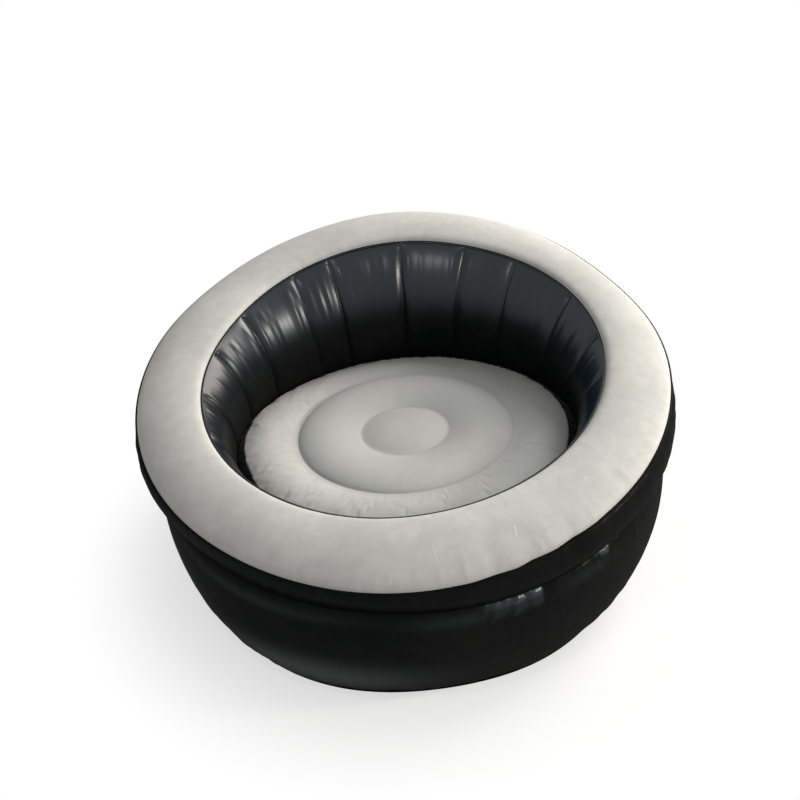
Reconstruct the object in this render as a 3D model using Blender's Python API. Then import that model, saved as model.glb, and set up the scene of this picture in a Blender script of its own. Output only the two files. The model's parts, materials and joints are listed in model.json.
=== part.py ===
"""Round inflatable sofa: an air-filled base with a flocked seat of concentric rings, and an air ring round it
whose flocked rim rises towards the back. The panels are cut from film and welded at flat margins.

Metres, +Z up, the back at +Y. The sofa stands on z = 0, below the middle of its rim.
"""

import math
from dataclasses import dataclass

import bmesh
import bpy
from mathutils import Matrix, Vector

# Film and welds
WALL_FILM = 0.0005
FLOCKED_FILM = 0.0009
WELD_GAP = 0.0003
FIN_WIDTH = 0.005
LAP_WIDTH = 0.010

# Outer weld of the rim, a circle tilted up towards the back
RIM_RADIUS = 0.565
RIM_HEIGHT = 0.416
RIM_RISE_SHARE = 0.17

# Weld round the opening of the bowl, a rim's width inside it
RIM_WIDTH = 0.133
OPENING_RADIUS = RIM_RADIUS - RIM_WIDTH
OPENING_HEIGHT = 0.428
OPENING_CENTRE = 0.018
OPENING_RISE_SHARE = 0.155

# Crease where the air ring sits on the base, which the rim overhangs
RIM_OVERHANG = 0.035
CREASE_RADIUS = RIM_RADIUS - RIM_OVERHANG
CREASE_HEIGHT = 0.266
BASE_CENTRE = -0.015

# Side wall of the base, which bulges past the crease and draws in to the bottom
BULGE_REACH = 0.018
BULGE_RADIUS = CREASE_RADIUS + BULGE_REACH
BULGE_HEIGHT = 0.208
BOTTOM_DRAW = 0.058
BOTTOM_RADIUS = CREASE_RADIUS - BOTTOM_DRAW
BOTTOM_TURN = math.radians(70)

# Seat: a welded eye, a welded ring and a welded edge, leaning a little to the back
RING_FLOOR_WIDTH = 0.150
SEAT_EDGE_RADIUS = CREASE_RADIUS - RING_FLOOR_WIDTH
SEAT_EDGE_HEIGHT = 0.240
SEAT_RING_RADIUS = 0.234
SEAT_EYE_RADIUS = 0.096
SEAT_WELD_HEIGHT = 0.288
SEAT_RISE_SHARE = -0.05
SEAT_EYE_CROWN = 0.016

# How far each blown panel swells, as a share of the distance between its welds, and how full its curve is
SEAT_CROWN_SHARE = 0.13
RIM_CROWN_SHARE = 0.17
BAND_SWELL_SHARE = 0.10
BACKREST_SWELL_SHARE = 0.09
CHANNEL_SWELL_SHARE = 0.055
FULLNESS_SHARE = 0.6

# Upright channels of the backrest, and the facets round the sofa
CHANNELS = 20
CHANNEL_COLUMNS = 4
COLUMNS = 60
BEAM_COLUMNS = 40

# Webs inside the air chambers
BEAM_FOOT = 0.012
BEAM_VENT_RADIUS = 0.012
BEAM_VENT_HEIGHT = 0.140
WELD_RIDGE_SHARE = 1.6
WEB_SETBACK = 0.0009
WEB_FOOT_SHARE = 0.6

# Air valves, the same one in each chamber. Depths run inwards and lifts outwards from the film
VALVE_SIDES = 24
FLANGE_RADIUS = 0.028
FLANGE_THICKNESS = 0.0015
COLLAR_RADIUS = 0.021
COLLAR_LIFT = 0.0035
NECK_RADIUS = 0.0192
NECK_DEPTH = 0.014
NECK_BORE_RADIUS = 0.0172
FILM_CLEARANCE = 0.0005
INSERT_CLEARANCE = 0.0003
INSERT_DEPTH = 0.015
LIP_RADIUS = 0.0205
LIP_THICKNESS = 0.0015
NOZZLE_BORE_RADIUS = 0.0078
STOPPER_RADIUS = 0.0115
STOPPER_THICKNESS = 0.0016
PLUG_CLEARANCE = 0.0004
PLUG_TIP_RADIUS = 0.0058
PLUG_LENGTH = 0.005
STRAP_WIDTH = 0.007
STRAP_REACH = 0.0145
TAB_REACH = 0.0165
FLAP_RADIUS = 0.0095
FLAP_THICKNESS = 0.0008
FLAP_TAB_WIDTH = 0.006
FLAP_TAB_REACH = 0.0105
CUT_OVERRUN = 0.02
MERGE_DISTANCE = 0.000003

# The level of each wall that its valve sits on, counted in rows of facets from the wall's upper edge
BASE_VALVE_LEVEL = 3
RING_VALVE_LEVEL = 3

BLACK_VINYL = ("black_vinyl", (0.013, 0.014, 0.015), 0.3)
GREY_FLOCK = ("grey_flock", (0.50, 0.49, 0.46), 0.95)
VALVE_PLASTIC = ("valve_plastic", (0.03, 0.03, 0.032), 0.5)
VALVE_RUBBER = ("valve_rubber", (0.018, 0.018, 0.018), 0.75)


@dataclass(frozen=True)
class Ring:
    """A circle that a panel passes through. rise_share is the height that it gains per metre to the back."""

    radius: float
    height: float
    centre: float = 0.0
    rise_share: float = 0.0

    def point(self, angle, out=0.0, up=0.0):
        """The point at an angle, moved out along the radius and up square to the circle's plane."""
        radius = self.radius + out
        y = self.centre + radius * math.sin(angle)
        height = self.height + self.rise_share * y + up * math.hypot(1, self.rise_share)
        return Vector((radius * math.cos(angle), y, height))

    def row(self, out=0.0, up=0.0, columns=COLUMNS, turn=0.5):
        """Points all the way round. Half a column's turn puts the middle of a facet at the back."""
        return [self.point(math.tau * (column + turn) / columns, out, up) for column in range(columns)]

    def channel_row(self, out=0.0, up=0.0):
        """Points all the way round, with one at each weld between two channels, and such a weld at the back."""
        return self.row(out, up, CHANNELS * CHANNEL_COLUMNS, 0)


RIM = Ring(RIM_RADIUS, RIM_HEIGHT, rise_share=RIM_RISE_SHARE)
OPENING = Ring(OPENING_RADIUS, OPENING_HEIGHT, OPENING_CENTRE, OPENING_RISE_SHARE)
CREASE = Ring(CREASE_RADIUS, CREASE_HEIGHT, BASE_CENTRE)
BOTTOM = Ring(BOTTOM_RADIUS, 0.0, BASE_CENTRE)
SEAT_EDGE = Ring(SEAT_EDGE_RADIUS, SEAT_EDGE_HEIGHT, BASE_CENTRE, SEAT_RISE_SHARE)
SEAT_RING = Ring(SEAT_RING_RADIUS, SEAT_WELD_HEIGHT, BASE_CENTRE, SEAT_RISE_SHARE)
SEAT_EYE = Ring(SEAT_EYE_RADIUS, SEAT_WELD_HEIGHT, BASE_CENTRE, SEAT_RISE_SHARE)

# The floor of the air ring is clamped in the middle of its welds, half its film above and half below
FLOOR_FACE = WALL_FILM / 2
LAP_LIFT = FLOOR_FACE + WELD_GAP
CREASE_LIFT = LAP_LIFT + WALL_FILM
TOP_LIFT = WELD_GAP / 2 + FLOCKED_FILM
WALL_DROP = -(WELD_GAP / 2 + WALL_FILM)
BOTTOM_LAP = 2 * WALL_FILM + WELD_GAP


def clear_scene():
    """Removes what the startup scene holds."""
    for thing in list(bpy.data.objects):
        bpy.data.objects.remove(thing)


def material(recipe):
    """The Principled material of a finish, made once."""
    name, colour, roughness = recipe
    made = bpy.data.materials.get(name)
    if made is None:
        made = bpy.data.materials.new(name)
        made.use_nodes = True
        shader = made.node_tree.nodes["Principled BSDF"]
        shader.inputs["Base Color"].default_value = (*colour, 1)
        shader.inputs["Roughness"].default_value = roughness
        shader.inputs["Metallic"].default_value = 0
    return made


def add_object(name, bm, recipe):
    """Turns a bmesh into a named object with its finish."""
    mesh = bpy.data.meshes.new(name)
    bm.to_mesh(mesh)
    bm.free()
    mesh.materials.append(material(recipe))
    made = bpy.data.objects.new(name, mesh)
    bpy.context.scene.collection.objects.link(made)
    return made


def swell(start, end, share, steps):
    """The rows between two welded rows, blown out square to the panel. share gives each column's height."""
    rows = []
    for step in range(1, steps):
        along = step / steps
        fullness = (4 * along * (1 - along)) ** FULLNESS_SHARE
        row = []
        for column, (low, high) in enumerate(zip(start, end)):
            chord = high - low
            side = start[(column + 1) % len(start)] - start[column - 1]
            out = chord.cross(side).normalized()
            row.append(low + chord * along + out * (share(column) * fullness * chord.length))
        rows.append(row)
    return rows


def sheet(name, rows, film, recipe, first_pole=None, last_pole=None):
    """A welded panel: the rows give its outer face, and the film lies behind it."""
    bm = bmesh.new()
    grid = [[bm.verts.new(point) for point in row] for row in rows]
    for upper, lower in zip(grid, grid[1:]):
        for column in range(len(upper)):
            after = (column + 1) % len(upper)
            bm.faces.new((upper[column], lower[column], lower[after], upper[after]))
    for pole, row, turn in ((first_pole, grid[0], 1), (last_pole, grid[-1], -1)):
        if pole is not None:
            tip = bm.verts.new(pole)
            for column in range(len(row)):
                corners = (tip, row[column], row[(column + 1) % len(row)])
                bm.faces.new(corners[::turn])
    made = add_object(name, bm, recipe)
    made.data.shade_smooth()
    solid = made.modifiers.new("film", "SOLIDIFY")
    solid.thickness = film
    solid.offset = -1
    solid.use_even_offset = True
    return made


def hide(tool):
    """Marks an object that only cuts or joins others."""
    tool.hide_render = True
    tool.display_type = "WIRE"
    return tool


def cutter(name, radius, length, place):
    """A round bar along Y, placed by a matrix, that a wall is cut with."""
    bm = bmesh.new()
    turn = Matrix.Rotation(math.pi / 2, 4, "X")
    bmesh.ops.create_cone(
        bm, cap_ends=True, segments=VALVE_SIDES, radius1=radius, radius2=radius, depth=length, matrix=turn
    )
    made = add_object(name, bm, VALVE_PLASTIC)
    made.matrix_world = place
    return hide(made)


def boolean(body, tool, operation):
    """Cuts a tool from a body, or joins it on."""
    cut = body.modifiers.new(tool.name, "BOOLEAN")
    cut.operation = operation
    cut.object = tool


def seat_panel():
    """The flocked seat: a crowned eye, two crowned rings, and a lap under the floor of the air ring."""
    eye, ring = SEAT_EYE.row(), SEAT_RING.row()
    edge = SEAT_EDGE.row(up=-LAP_LIFT)
    middle = Vector((0, BASE_CENTRE, SEAT_WELD_HEIGHT + SEAT_RISE_SHARE * BASE_CENTRE + SEAT_EYE_CROWN))
    dome = [point.lerp(middle, 0.5) + Vector((0, 0, SEAT_EYE_CROWN / 4)) for point in eye]

    def crown(column):
        return SEAT_CROWN_SHARE

    rows = [dome, eye, *swell(eye, ring, crown, 3), ring, *swell(ring, edge, crown, 4), edge]
    rows.append(SEAT_EDGE.row(out=LAP_WIDTH, up=-LAP_LIFT))
    return sheet("seat_panel", rows, FLOCKED_FILM, GREY_FLOCK, first_pole=middle)


def seat_beam(name, weld, vents):
    """A hoop of film that ties a seat weld down to the bottom panel, with holes that let the air through."""
    top = weld.row(up=-(WELD_RIDGE_SHARE * FLOCKED_FILM + WELD_GAP), columns=BEAM_COLUMNS)
    foot = Ring(weld.radius, BOTTOM_LAP, BASE_CENTRE)
    rows = [top, foot.row(columns=BEAM_COLUMNS), foot.row(out=BEAM_FOOT, columns=BEAM_COLUMNS)]
    made = sheet(name, rows, WALL_FILM, BLACK_VINYL)
    for vent in vents:
        boolean(made, vent, "DIFFERENCE")
    return made


def seat_beams():
    """The two hoops under the seat's welds, cut by two crossed bars."""
    length = 2 * (SEAT_RING_RADIUS + CUT_OVERRUN)
    middle = Matrix.Translation((0, BASE_CENTRE, BEAM_VENT_HEIGHT))
    vents = [
        cutter("vents_front_to_back", BEAM_VENT_RADIUS, length, middle),
        cutter("vents_side_to_side", BEAM_VENT_RADIUS, length, middle @ Matrix.Rotation(math.pi / 2, 4, "Z")),
    ]
    seat_beam("seat_beam_inner", SEAT_EYE, vents)
    seat_beam("seat_beam_outer", SEAT_RING, vents)


def bottom_panel():
    """The round panel that the sofa stands on, with its margin under the side wall's."""
    edge = BOTTOM.row(out=FIN_WIDTH)
    sheet("bottom_panel", [edge], WALL_FILM, BLACK_VINYL, last_pole=Vector((0, BASE_CENTRE, 0)))


def base_rows():
    """The outer face of the base's side wall, from the crease over the bulge to the bottom weld."""
    rows = [CREASE.row(out=FIN_WIDTH, up=-CREASE_LIFT), CREASE.row(up=-CREASE_LIFT)]
    for step in (1, 2):
        turn = math.pi / 2 * step / 2
        radius = CREASE_RADIUS + (BULGE_RADIUS - CREASE_RADIUS) * math.sin(turn)
        height = CREASE_HEIGHT + (BULGE_HEIGHT - CREASE_HEIGHT) * (1 - math.cos(turn))
        rows.append(Ring(radius, height, BASE_CENTRE).row())
    for step in (1, 2, 3):
        turn = BOTTOM_TURN * step / 4
        inwards = (1 - math.cos(turn)) / (1 - math.cos(BOTTOM_TURN))
        down = math.sin(turn) / math.sin(BOTTOM_TURN)
        radius = BULGE_RADIUS + (BOTTOM_RADIUS - BULGE_RADIUS) * inwards
        height = BULGE_HEIGHT + (BOTTOM_LAP - BULGE_HEIGHT) * down
        rows.append(Ring(radius, height, BASE_CENTRE).row())
    return [*rows, BOTTOM.row(up=BOTTOM_LAP), BOTTOM.row(out=FIN_WIDTH, up=BOTTOM_LAP)]


def base_side_wall(valve):
    """The blown wall of the base, with its valve hole."""
    wall = sheet("base_side_wall", base_rows(), WALL_FILM, BLACK_VINYL)
    boolean(wall, valve.hole(), "DIFFERENCE")


def ring_floor_panel():
    """The floor of the air ring, which parts it from the base and is held in both welds."""
    rows = [SEAT_EDGE.row(up=FLOOR_FACE), SEAT_EDGE.row(out=LAP_WIDTH, up=FLOOR_FACE)]
    rows += [CREASE.row(out=-FIN_WIDTH, up=FLOOR_FACE), CREASE.row(out=FIN_WIDTH, up=FLOOR_FACE)]
    sheet("ring_floor_panel", rows, WALL_FILM, BLACK_VINYL)


def rim_top_panel():
    """The flocked top of the air ring, crowned between its two welds."""
    inner, outer = OPENING.row(up=TOP_LIFT), RIM.row(up=TOP_LIFT)
    rows = [OPENING.row(out=-FIN_WIDTH, up=TOP_LIFT), inner]
    rows += swell(inner, outer, lambda column: RIM_CROWN_SHARE, 5)
    rows += [outer, RIM.row(out=FIN_WIDTH, up=TOP_LIFT)]
    sheet("rim_top_panel", rows, FLOCKED_FILM, GREY_FLOCK)


def band_rows():
    """The outer face of the air ring's outside wall."""
    top, foot = RIM.row(up=WALL_DROP), CREASE.row(up=CREASE_LIFT)
    blown = swell(top, foot, lambda column: BAND_SWELL_SHARE, 4)
    return [RIM.row(out=FIN_WIDTH, up=WALL_DROP), top, *blown, foot, CREASE.row(out=FIN_WIDTH, up=CREASE_LIFT)]


def rim_outer_band(valve):
    """The outside wall of the air ring, low at the front and high at the back, with its valve hole."""
    band = sheet("rim_outer_band", band_rows(), WALL_FILM, BLACK_VINYL)
    boolean(band, valve.hole(), "DIFFERENCE")


def backrest_rows():
    """The bowl side of the backrest, from its lap on the floor panel to the opening, in upright channels."""

    def channel(column):
        across = (column % CHANNEL_COLUMNS) / CHANNEL_COLUMNS
        return BACKREST_SWELL_SHARE + CHANNEL_SWELL_SHARE * math.sin(math.pi * across)

    foot, top = SEAT_EDGE.channel_row(up=LAP_LIFT), OPENING.channel_row(up=WALL_DROP)
    lap = SEAT_EDGE.channel_row(out=LAP_WIDTH, up=LAP_LIFT)
    margin = OPENING.channel_row(out=-FIN_WIDTH, up=WALL_DROP)
    return [lap, foot, *swell(foot, top, channel, 5), top, margin]


def backrest_inner_wall():
    """The channelled wall round the bowl, which is the backrest and the armrests in one."""
    sheet("backrest_inner_wall", backrest_rows(), WALL_FILM, BLACK_VINYL)


def backrest_webs():
    """The upright webs inside the air ring, one behind each channel weld, which hold the backrest to the floor."""
    rows = backrest_rows()
    lift = Vector((0, 0, WEB_SETBACK))
    for channel in range(CHANNELS):
        angle = math.tau * channel / CHANNELS
        out, side = Vector((math.cos(angle), math.sin(angle), 0)), Vector((-math.sin(angle), math.cos(angle), 0))
        edge = [row[channel * CHANNEL_COLUMNS] + out * WEB_SETBACK for row in rows[2:-2]]
        lap = SEAT_EDGE.point(angle, out=LAP_WIDTH + WEB_SETBACK, up=FLOOR_FACE)
        tip = lap.lerp(CREASE.point(angle, out=-FIN_WIDTH, up=FLOOR_FACE), WEB_FOOT_SHARE)
        outline = [lap + lift, tip + lift, *reversed(edge)]
        bm = bmesh.new()
        face = bm.faces.new([bm.verts.new(point - side * (WALL_FILM / 2)) for point in outline])
        moved = bmesh.ops.extrude_face_region(bm, geom=[face])["geom"]
        corners = [item for item in moved if isinstance(item, bmesh.types.BMVert)]
        bmesh.ops.translate(bm, verts=corners, vec=side * WALL_FILM)
        bmesh.ops.recalc_face_normals(bm, faces=bm.faces[:])
        add_object(f"backrest_web_{channel + 1:02d}", bm, BLACK_VINYL)


class Valve:
    """An air valve: a welded flange, a push-in insert, a stopper on a strap and a check flap."""

    def __init__(self, name, rows, level):
        """Sits the valve on the middle of the facet at the back of a wall, with its own +Y pointing outwards."""
        after = COLUMNS // 4
        upper = rows[level][after - 1:after + 1]
        lower = rows[level + 1][after - 1:after + 1]
        middle = (upper[0] + upper[1] + lower[0] + lower[1]) / 4
        out = (lower[0] - upper[0]).cross(upper[1] - upper[0])
        self.name = name
        self.place = Matrix.Translation(middle) @ Matrix.Rotation(math.atan2(out.z, out.y), 4, "X")

    def turned(self, node, outline, recipe, pivot=Vector()):
        """A round piece from its closed outline of (radius, lift) points, with its origin at a pivot."""
        bm = bmesh.new()
        corners = [bm.verts.new((radius, lift, 0)) for radius, lift in outline]
        edges = [bm.edges.new(pair) for pair in zip(corners, corners[1:] + corners[:1])]
        bmesh.ops.spin(
            bm, geom=corners + edges, cent=(0, 0, 0), axis=(0, 1, 0), angle=math.tau, steps=VALVE_SIDES, use_merge=True
        )
        bmesh.ops.remove_doubles(bm, verts=bm.verts[:], dist=MERGE_DISTANCE)
        bmesh.ops.dissolve_degenerate(bm, edges=bm.edges[:], dist=MERGE_DISTANCE)
        bmesh.ops.recalc_face_normals(bm, faces=bm.faces[:])
        bmesh.ops.translate(bm, verts=bm.verts[:], vec=-pivot)
        made = add_object(f"{self.name}_{node}", bm, recipe)
        made.data.shade_smooth()
        made.data.set_sharp_from_angle(angle=math.radians(35))
        made.matrix_world = self.place @ Matrix.Translation(pivot)
        return made

    def tongue(self, node, width, lifts, reaches, recipe):
        """A block to join on: a width across, a pair of lifts and a pair of heights along the valve's own Z."""
        bm = bmesh.new()
        low, high = lifts
        bottom, top = reaches
        size = Matrix.Diagonal((width, high - low, top - bottom, 1))
        bmesh.ops.create_cube(bm, size=1, matrix=Matrix.Translation((0, (low + high) / 2, (bottom + top) / 2)) @ size)
        made = add_object(f"{self.name}_{node}", bm, recipe)
        made.matrix_world = self.place
        return hide(made)

    def hole(self):
        """The bar that cuts this valve's hole in its wall."""
        return cutter(f"{self.name}_hole", NECK_RADIUS + FILM_CLEARANCE, 2 * CUT_OVERRUN, self.place)

    def build(self):
        """Makes the four pieces."""
        self.flange()
        self.insert()
        self.stopper()
        self.flap()

    def flange(self):
        """The ring that is welded to the film, with a neck into the chamber."""
        face = WELD_GAP + FLANGE_THICKNESS
        outline = [
            (NECK_BORE_RADIUS, -NECK_DEPTH),
            (NECK_RADIUS, -NECK_DEPTH),
            (NECK_RADIUS, WELD_GAP),
            (FLANGE_RADIUS, WELD_GAP),
            (FLANGE_RADIUS, face),
            (COLLAR_RADIUS, face),
            (COLLAR_RADIUS, COLLAR_LIFT),
            (NECK_BORE_RADIUS, COLLAR_LIFT),
        ]
        self.turned("flange", outline, VALVE_PLASTIC)

    def insert(self):
        """The push-in body, which pulls right out to let the air go quickly. A pump nozzle fits its bore."""
        body_radius = NECK_BORE_RADIUS - INSERT_CLEARANCE
        seat = COLLAR_LIFT + WELD_GAP
        outline = [
            (NOZZLE_BORE_RADIUS, -INSERT_DEPTH),
            (body_radius, -INSERT_DEPTH),
            (body_radius, seat),
            (LIP_RADIUS, seat),
            (LIP_RADIUS, seat + LIP_THICKNESS),
            (NOZZLE_BORE_RADIUS, seat + LIP_THICKNESS),
        ]
        self.turned("insert", outline, VALVE_PLASTIC)

    def stopper(self):
        """The cap that plugs the bore, with a pull tab above and a strap to its hinge below."""
        seat = COLLAR_LIFT + 2 * WELD_GAP + LIP_THICKNESS
        top = seat + STOPPER_THICKNESS
        outline = [
            (0, seat - PLUG_LENGTH),
            (PLUG_TIP_RADIUS, seat - PLUG_LENGTH),
            (NOZZLE_BORE_RADIUS - PLUG_CLEARANCE, seat),
            (STOPPER_RADIUS, seat),
            (STOPPER_RADIUS, top),
            (0, top),
        ]
        cap = self.turned("stopper", outline, VALVE_RUBBER, Vector((0, (seat + top) / 2, -STRAP_REACH)))
        inset = STOPPER_THICKNESS / 8
        root = STOPPER_RADIUS / 2
        lifts = (seat + inset, top - inset)
        boolean(cap, self.tongue("strap", STRAP_WIDTH, lifts, (-STRAP_REACH, -root), VALVE_RUBBER), "UNION")
        boolean(cap, self.tongue("tab", STRAP_WIDTH, lifts, (root, TAB_REACH), VALVE_RUBBER), "UNION")

    def flap(self):
        """The soft disc over the inner end of the bore, hinged at its top, which the air inside holds shut."""
        outer = -(INSERT_DEPTH + WELD_GAP)
        inner = outer - FLAP_THICKNESS
        outline = [(0, inner), (FLAP_RADIUS, inner), (FLAP_RADIUS, outer), (0, outer)]
        disc = self.turned("flap", outline, VALVE_RUBBER, Vector((0, (inner + outer) / 2, FLAP_TAB_REACH)))
        inset = FLAP_THICKNESS / 8
        lifts = (inner + inset, outer - inset)
        tab = self.tongue("flap_tab", FLAP_TAB_WIDTH, lifts, (FLAP_RADIUS / 2, FLAP_TAB_REACH), VALVE_RUBBER)
        boolean(disc, tab, "UNION")


def main():
    """Builds the sofa from the floor up."""
    clear_scene()
    base_valve = Valve("base_valve", base_rows(), BASE_VALVE_LEVEL)
    ring_valve = Valve("ring_valve", band_rows(), RING_VALVE_LEVEL)
    bottom_panel()
    base_side_wall(base_valve)
    seat_panel()
    seat_beams()
    ring_floor_panel()
    backrest_inner_wall()
    backrest_webs()
    rim_top_panel()
    rim_outer_band(ring_valve)
    base_valve.build()
    ring_valve.build()


main()
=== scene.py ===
"""The looks of the round inflatable sofa: blown vinyl panels with their welds and puckers, a flocked seat and rim,
and moulded air valves, in plain soft studio light.

Metres, +Z up, the back at +Y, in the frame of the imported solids.
"""

import json
import logging
import math
from dataclasses import dataclass, field
from enum import Enum

import bmesh
import bpy
import numpy as np
from mathutils import Matrix, Vector


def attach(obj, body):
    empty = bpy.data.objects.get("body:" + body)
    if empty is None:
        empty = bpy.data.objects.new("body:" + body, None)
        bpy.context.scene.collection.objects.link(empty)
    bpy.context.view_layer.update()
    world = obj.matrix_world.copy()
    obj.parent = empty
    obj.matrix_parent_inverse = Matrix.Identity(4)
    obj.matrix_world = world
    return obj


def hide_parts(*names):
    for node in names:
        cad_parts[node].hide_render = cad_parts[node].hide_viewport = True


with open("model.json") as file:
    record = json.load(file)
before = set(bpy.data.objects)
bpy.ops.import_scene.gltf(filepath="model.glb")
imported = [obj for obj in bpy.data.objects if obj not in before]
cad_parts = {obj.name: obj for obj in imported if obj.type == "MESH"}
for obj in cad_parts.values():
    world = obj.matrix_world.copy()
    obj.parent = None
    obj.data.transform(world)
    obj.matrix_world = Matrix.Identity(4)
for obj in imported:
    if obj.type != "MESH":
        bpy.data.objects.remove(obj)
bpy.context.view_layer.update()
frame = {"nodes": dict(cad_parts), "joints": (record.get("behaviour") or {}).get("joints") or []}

LOG = logging.getLogger("sofa")
BACK = math.pi / 2
MILLIMETRE = 0.001
Value = float | tuple | bpy.types.NodeSocket


class Slot(Enum):
    """The material slots of the record."""

    VINYL = "black_vinyl"
    FLOCK = "grey_flock"
    PLASTIC = "valve_plastic"
    RUBBER = "valve_rubber"


@dataclass(frozen=True)
class Wave:
    """A slow unevenness of an outline: how many lobes go round, how high they are, and where one of them is."""

    lobes: int
    height: float
    heading: float

    def at(self, angles: np.ndarray) -> np.ndarray:
        """The height at each angle."""
        return self.height * np.cos(self.lobes * (angles - math.radians(self.heading)))


@dataclass(frozen=True)
class Bump:
    """A local unevenness of an outline: its height, the heading of its middle and its half width in degrees."""

    height: float
    heading: float
    width: float

    def at(self, angles: np.ndarray) -> np.ndarray:
        """The height at each angle."""
        apart = (angles - math.radians(self.heading) + math.pi) % math.tau - math.pi
        return self.height * np.exp(-((apart / math.radians(self.width)) ** 2))


@dataclass(frozen=True)
class WeldLine:
    """A circle that panels are welded along, with the slow unevenness that slack film gives it.

    rise_share is the height that it gains per metre to the back. outward lists unevenness along the radius, and
    upward unevenness in height.
    """

    radius: float
    height: float
    centre: float = 0.0
    rise_share: float = 0.0
    outward: tuple = ()
    upward: tuple = ()

    def points(self, angles: np.ndarray, out: float = 0.0, up: float = 0.0) -> np.ndarray:
        """Points of the circle.

        Args:
            angles: the angle of each point, in radians from +X.
            out: how far the points lie outside the circle.
            up: how far they lie above it, square to its plane.

        Returns:
            An array of one point per angle.
        """
        radius = self.radius + out + sum((wave.at(angles) for wave in self.outward), np.zeros_like(angles))
        y = self.centre + radius * np.sin(angles)
        lift = sum((wave.at(angles) for wave in self.upward), np.zeros_like(angles))
        z = self.height + self.rise_share * y + lift + up * math.hypot(1, self.rise_share)
        return np.stack([radius * np.cos(angles), y, z], axis=-1)


@dataclass(frozen=True)
class Films:
    """The films and their welds. Flocked film is cut back to its trim, and the black film shows its bare edge."""

    wall: float = 0.0005
    flocked: float = 0.0009
    gap: float = 0.0003
    fin: float = 0.005
    lap: float = 0.010
    trim: float = 0.001
    bare: float = 0.0065

    @property
    def top_lift(self) -> float:
        """The upper face of a flocked film over its weld."""
        return self.gap / 2 + self.flocked

    @property
    def wall_drop(self) -> float:
        """The lower face of a wall film under its weld."""
        return -(self.gap / 2 + self.wall)

    @property
    def lap_lift(self) -> float:
        """The face of a film that lies on the floor of the air ring, or under it."""
        return self.wall / 2 + self.gap

    @property
    def crease_lift(self) -> float:
        """The outer face of a wall film over or under the floor of the air ring."""
        return self.lap_lift + self.wall

    @property
    def foot_lift(self) -> float:
        """The outer face of the side wall over the bottom film."""
        return 2 * self.wall + self.gap


FILMS = Films()
BACK_LIFT = Bump(0.009, 92, 26)
FRONT_WAVES = (
    (0.001, -77), (-0.0012, -72), (0.0015, -67.5), (-0.0015, -64), (0.0012, -59), (-0.0016, -55), (0.001, -49)
)
FRONT_WAVE_WIDTH = 1.8
RIM = WeldLine(
    0.565,
    0.416,
    rise_share=0.17,
    outward=(
        Bump(-0.016, 33, 20),
        Bump(0.004, 95, 16),
        Bump(-0.007, 142, 16),
        Bump(-0.006, -122, 26),
        Bump(-0.006, -54, 24),
        *(Bump(height, heading, FRONT_WAVE_WIDTH) for height, heading in FRONT_WAVES),
    ),
    upward=(BACK_LIFT,),
)
OPENING = WeldLine(
    0.432,
    0.428,
    0.018,
    0.155,
    outward=(Bump(0.010, 36, 40), Bump(-0.010, 152, 24), Bump(0.003, -148, 22), Bump(-0.009, -72, 34)),
    upward=(BACK_LIFT,),
)
CREASE = WeldLine(0.530, 0.266, -0.015, outward=(Wave(1, 0.006, 0),), upward=(Bump(-0.015, -64, 26),))
BULGE = WeldLine(0.548, 0.208, -0.015, outward=(Wave(1, 0.006, 0), Bump(0.006, -112, 26), Bump(-0.005, -150, 16)))
BOTTOM = WeldLine(0.472, 0.0, -0.015, outward=(Wave(1, 0.003, 0), Bump(0.018, -110, 30), Bump(0.014, -58, 22)))
# Where the flock stops. The black film past it stands as painted crevice shade where the seat meets the wall.
FLOCK_EDGE = WeldLine(
    0.354,
    0.260,
    -0.0215,
    -0.05,
    outward=(Bump(0.006, 42, 22), Bump(-0.008, 95, 20), Bump(0.010, 152, 26), Bump(-0.004, -162, 15)),
)
SEAT_EDGE = WeldLine(0.380, 0.240, -0.015, -0.05)
SEAT_RING = WeldLine(0.234, 0.288, -0.015, -0.05)
SEAT_EYE = WeldLine(0.096, 0.288, -0.015, -0.05)


def smooth_step(low: float, high: float, value: np.ndarray) -> np.ndarray:
    """Zero below low, one above high, and a smooth rise between them."""
    share = np.clip((value - low) / (high - low), 0, 1)
    return share * share * (3 - 2 * share)


@dataclass(frozen=True)
class Side:
    """A value that changes towards one side of the sofa.

    heading is the middle of that side, in degrees. low and high are cosines of the angle from it: the change starts
    at low and is whole at high. base is the value elsewhere, and gain is how much is added on that side.
    """

    heading: float
    low: float
    high: float
    base: float = 0.0
    gain: float = 1.0

    def at(self, angles: np.ndarray) -> np.ndarray:
        """The value at each angle."""
        return self.base + self.gain * smooth_step(self.low, self.high, np.cos(angles - math.radians(self.heading)))


OUTSIDE_SHINE = Side(90, -0.30, 0.45, 0.0, 0.42)


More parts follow.
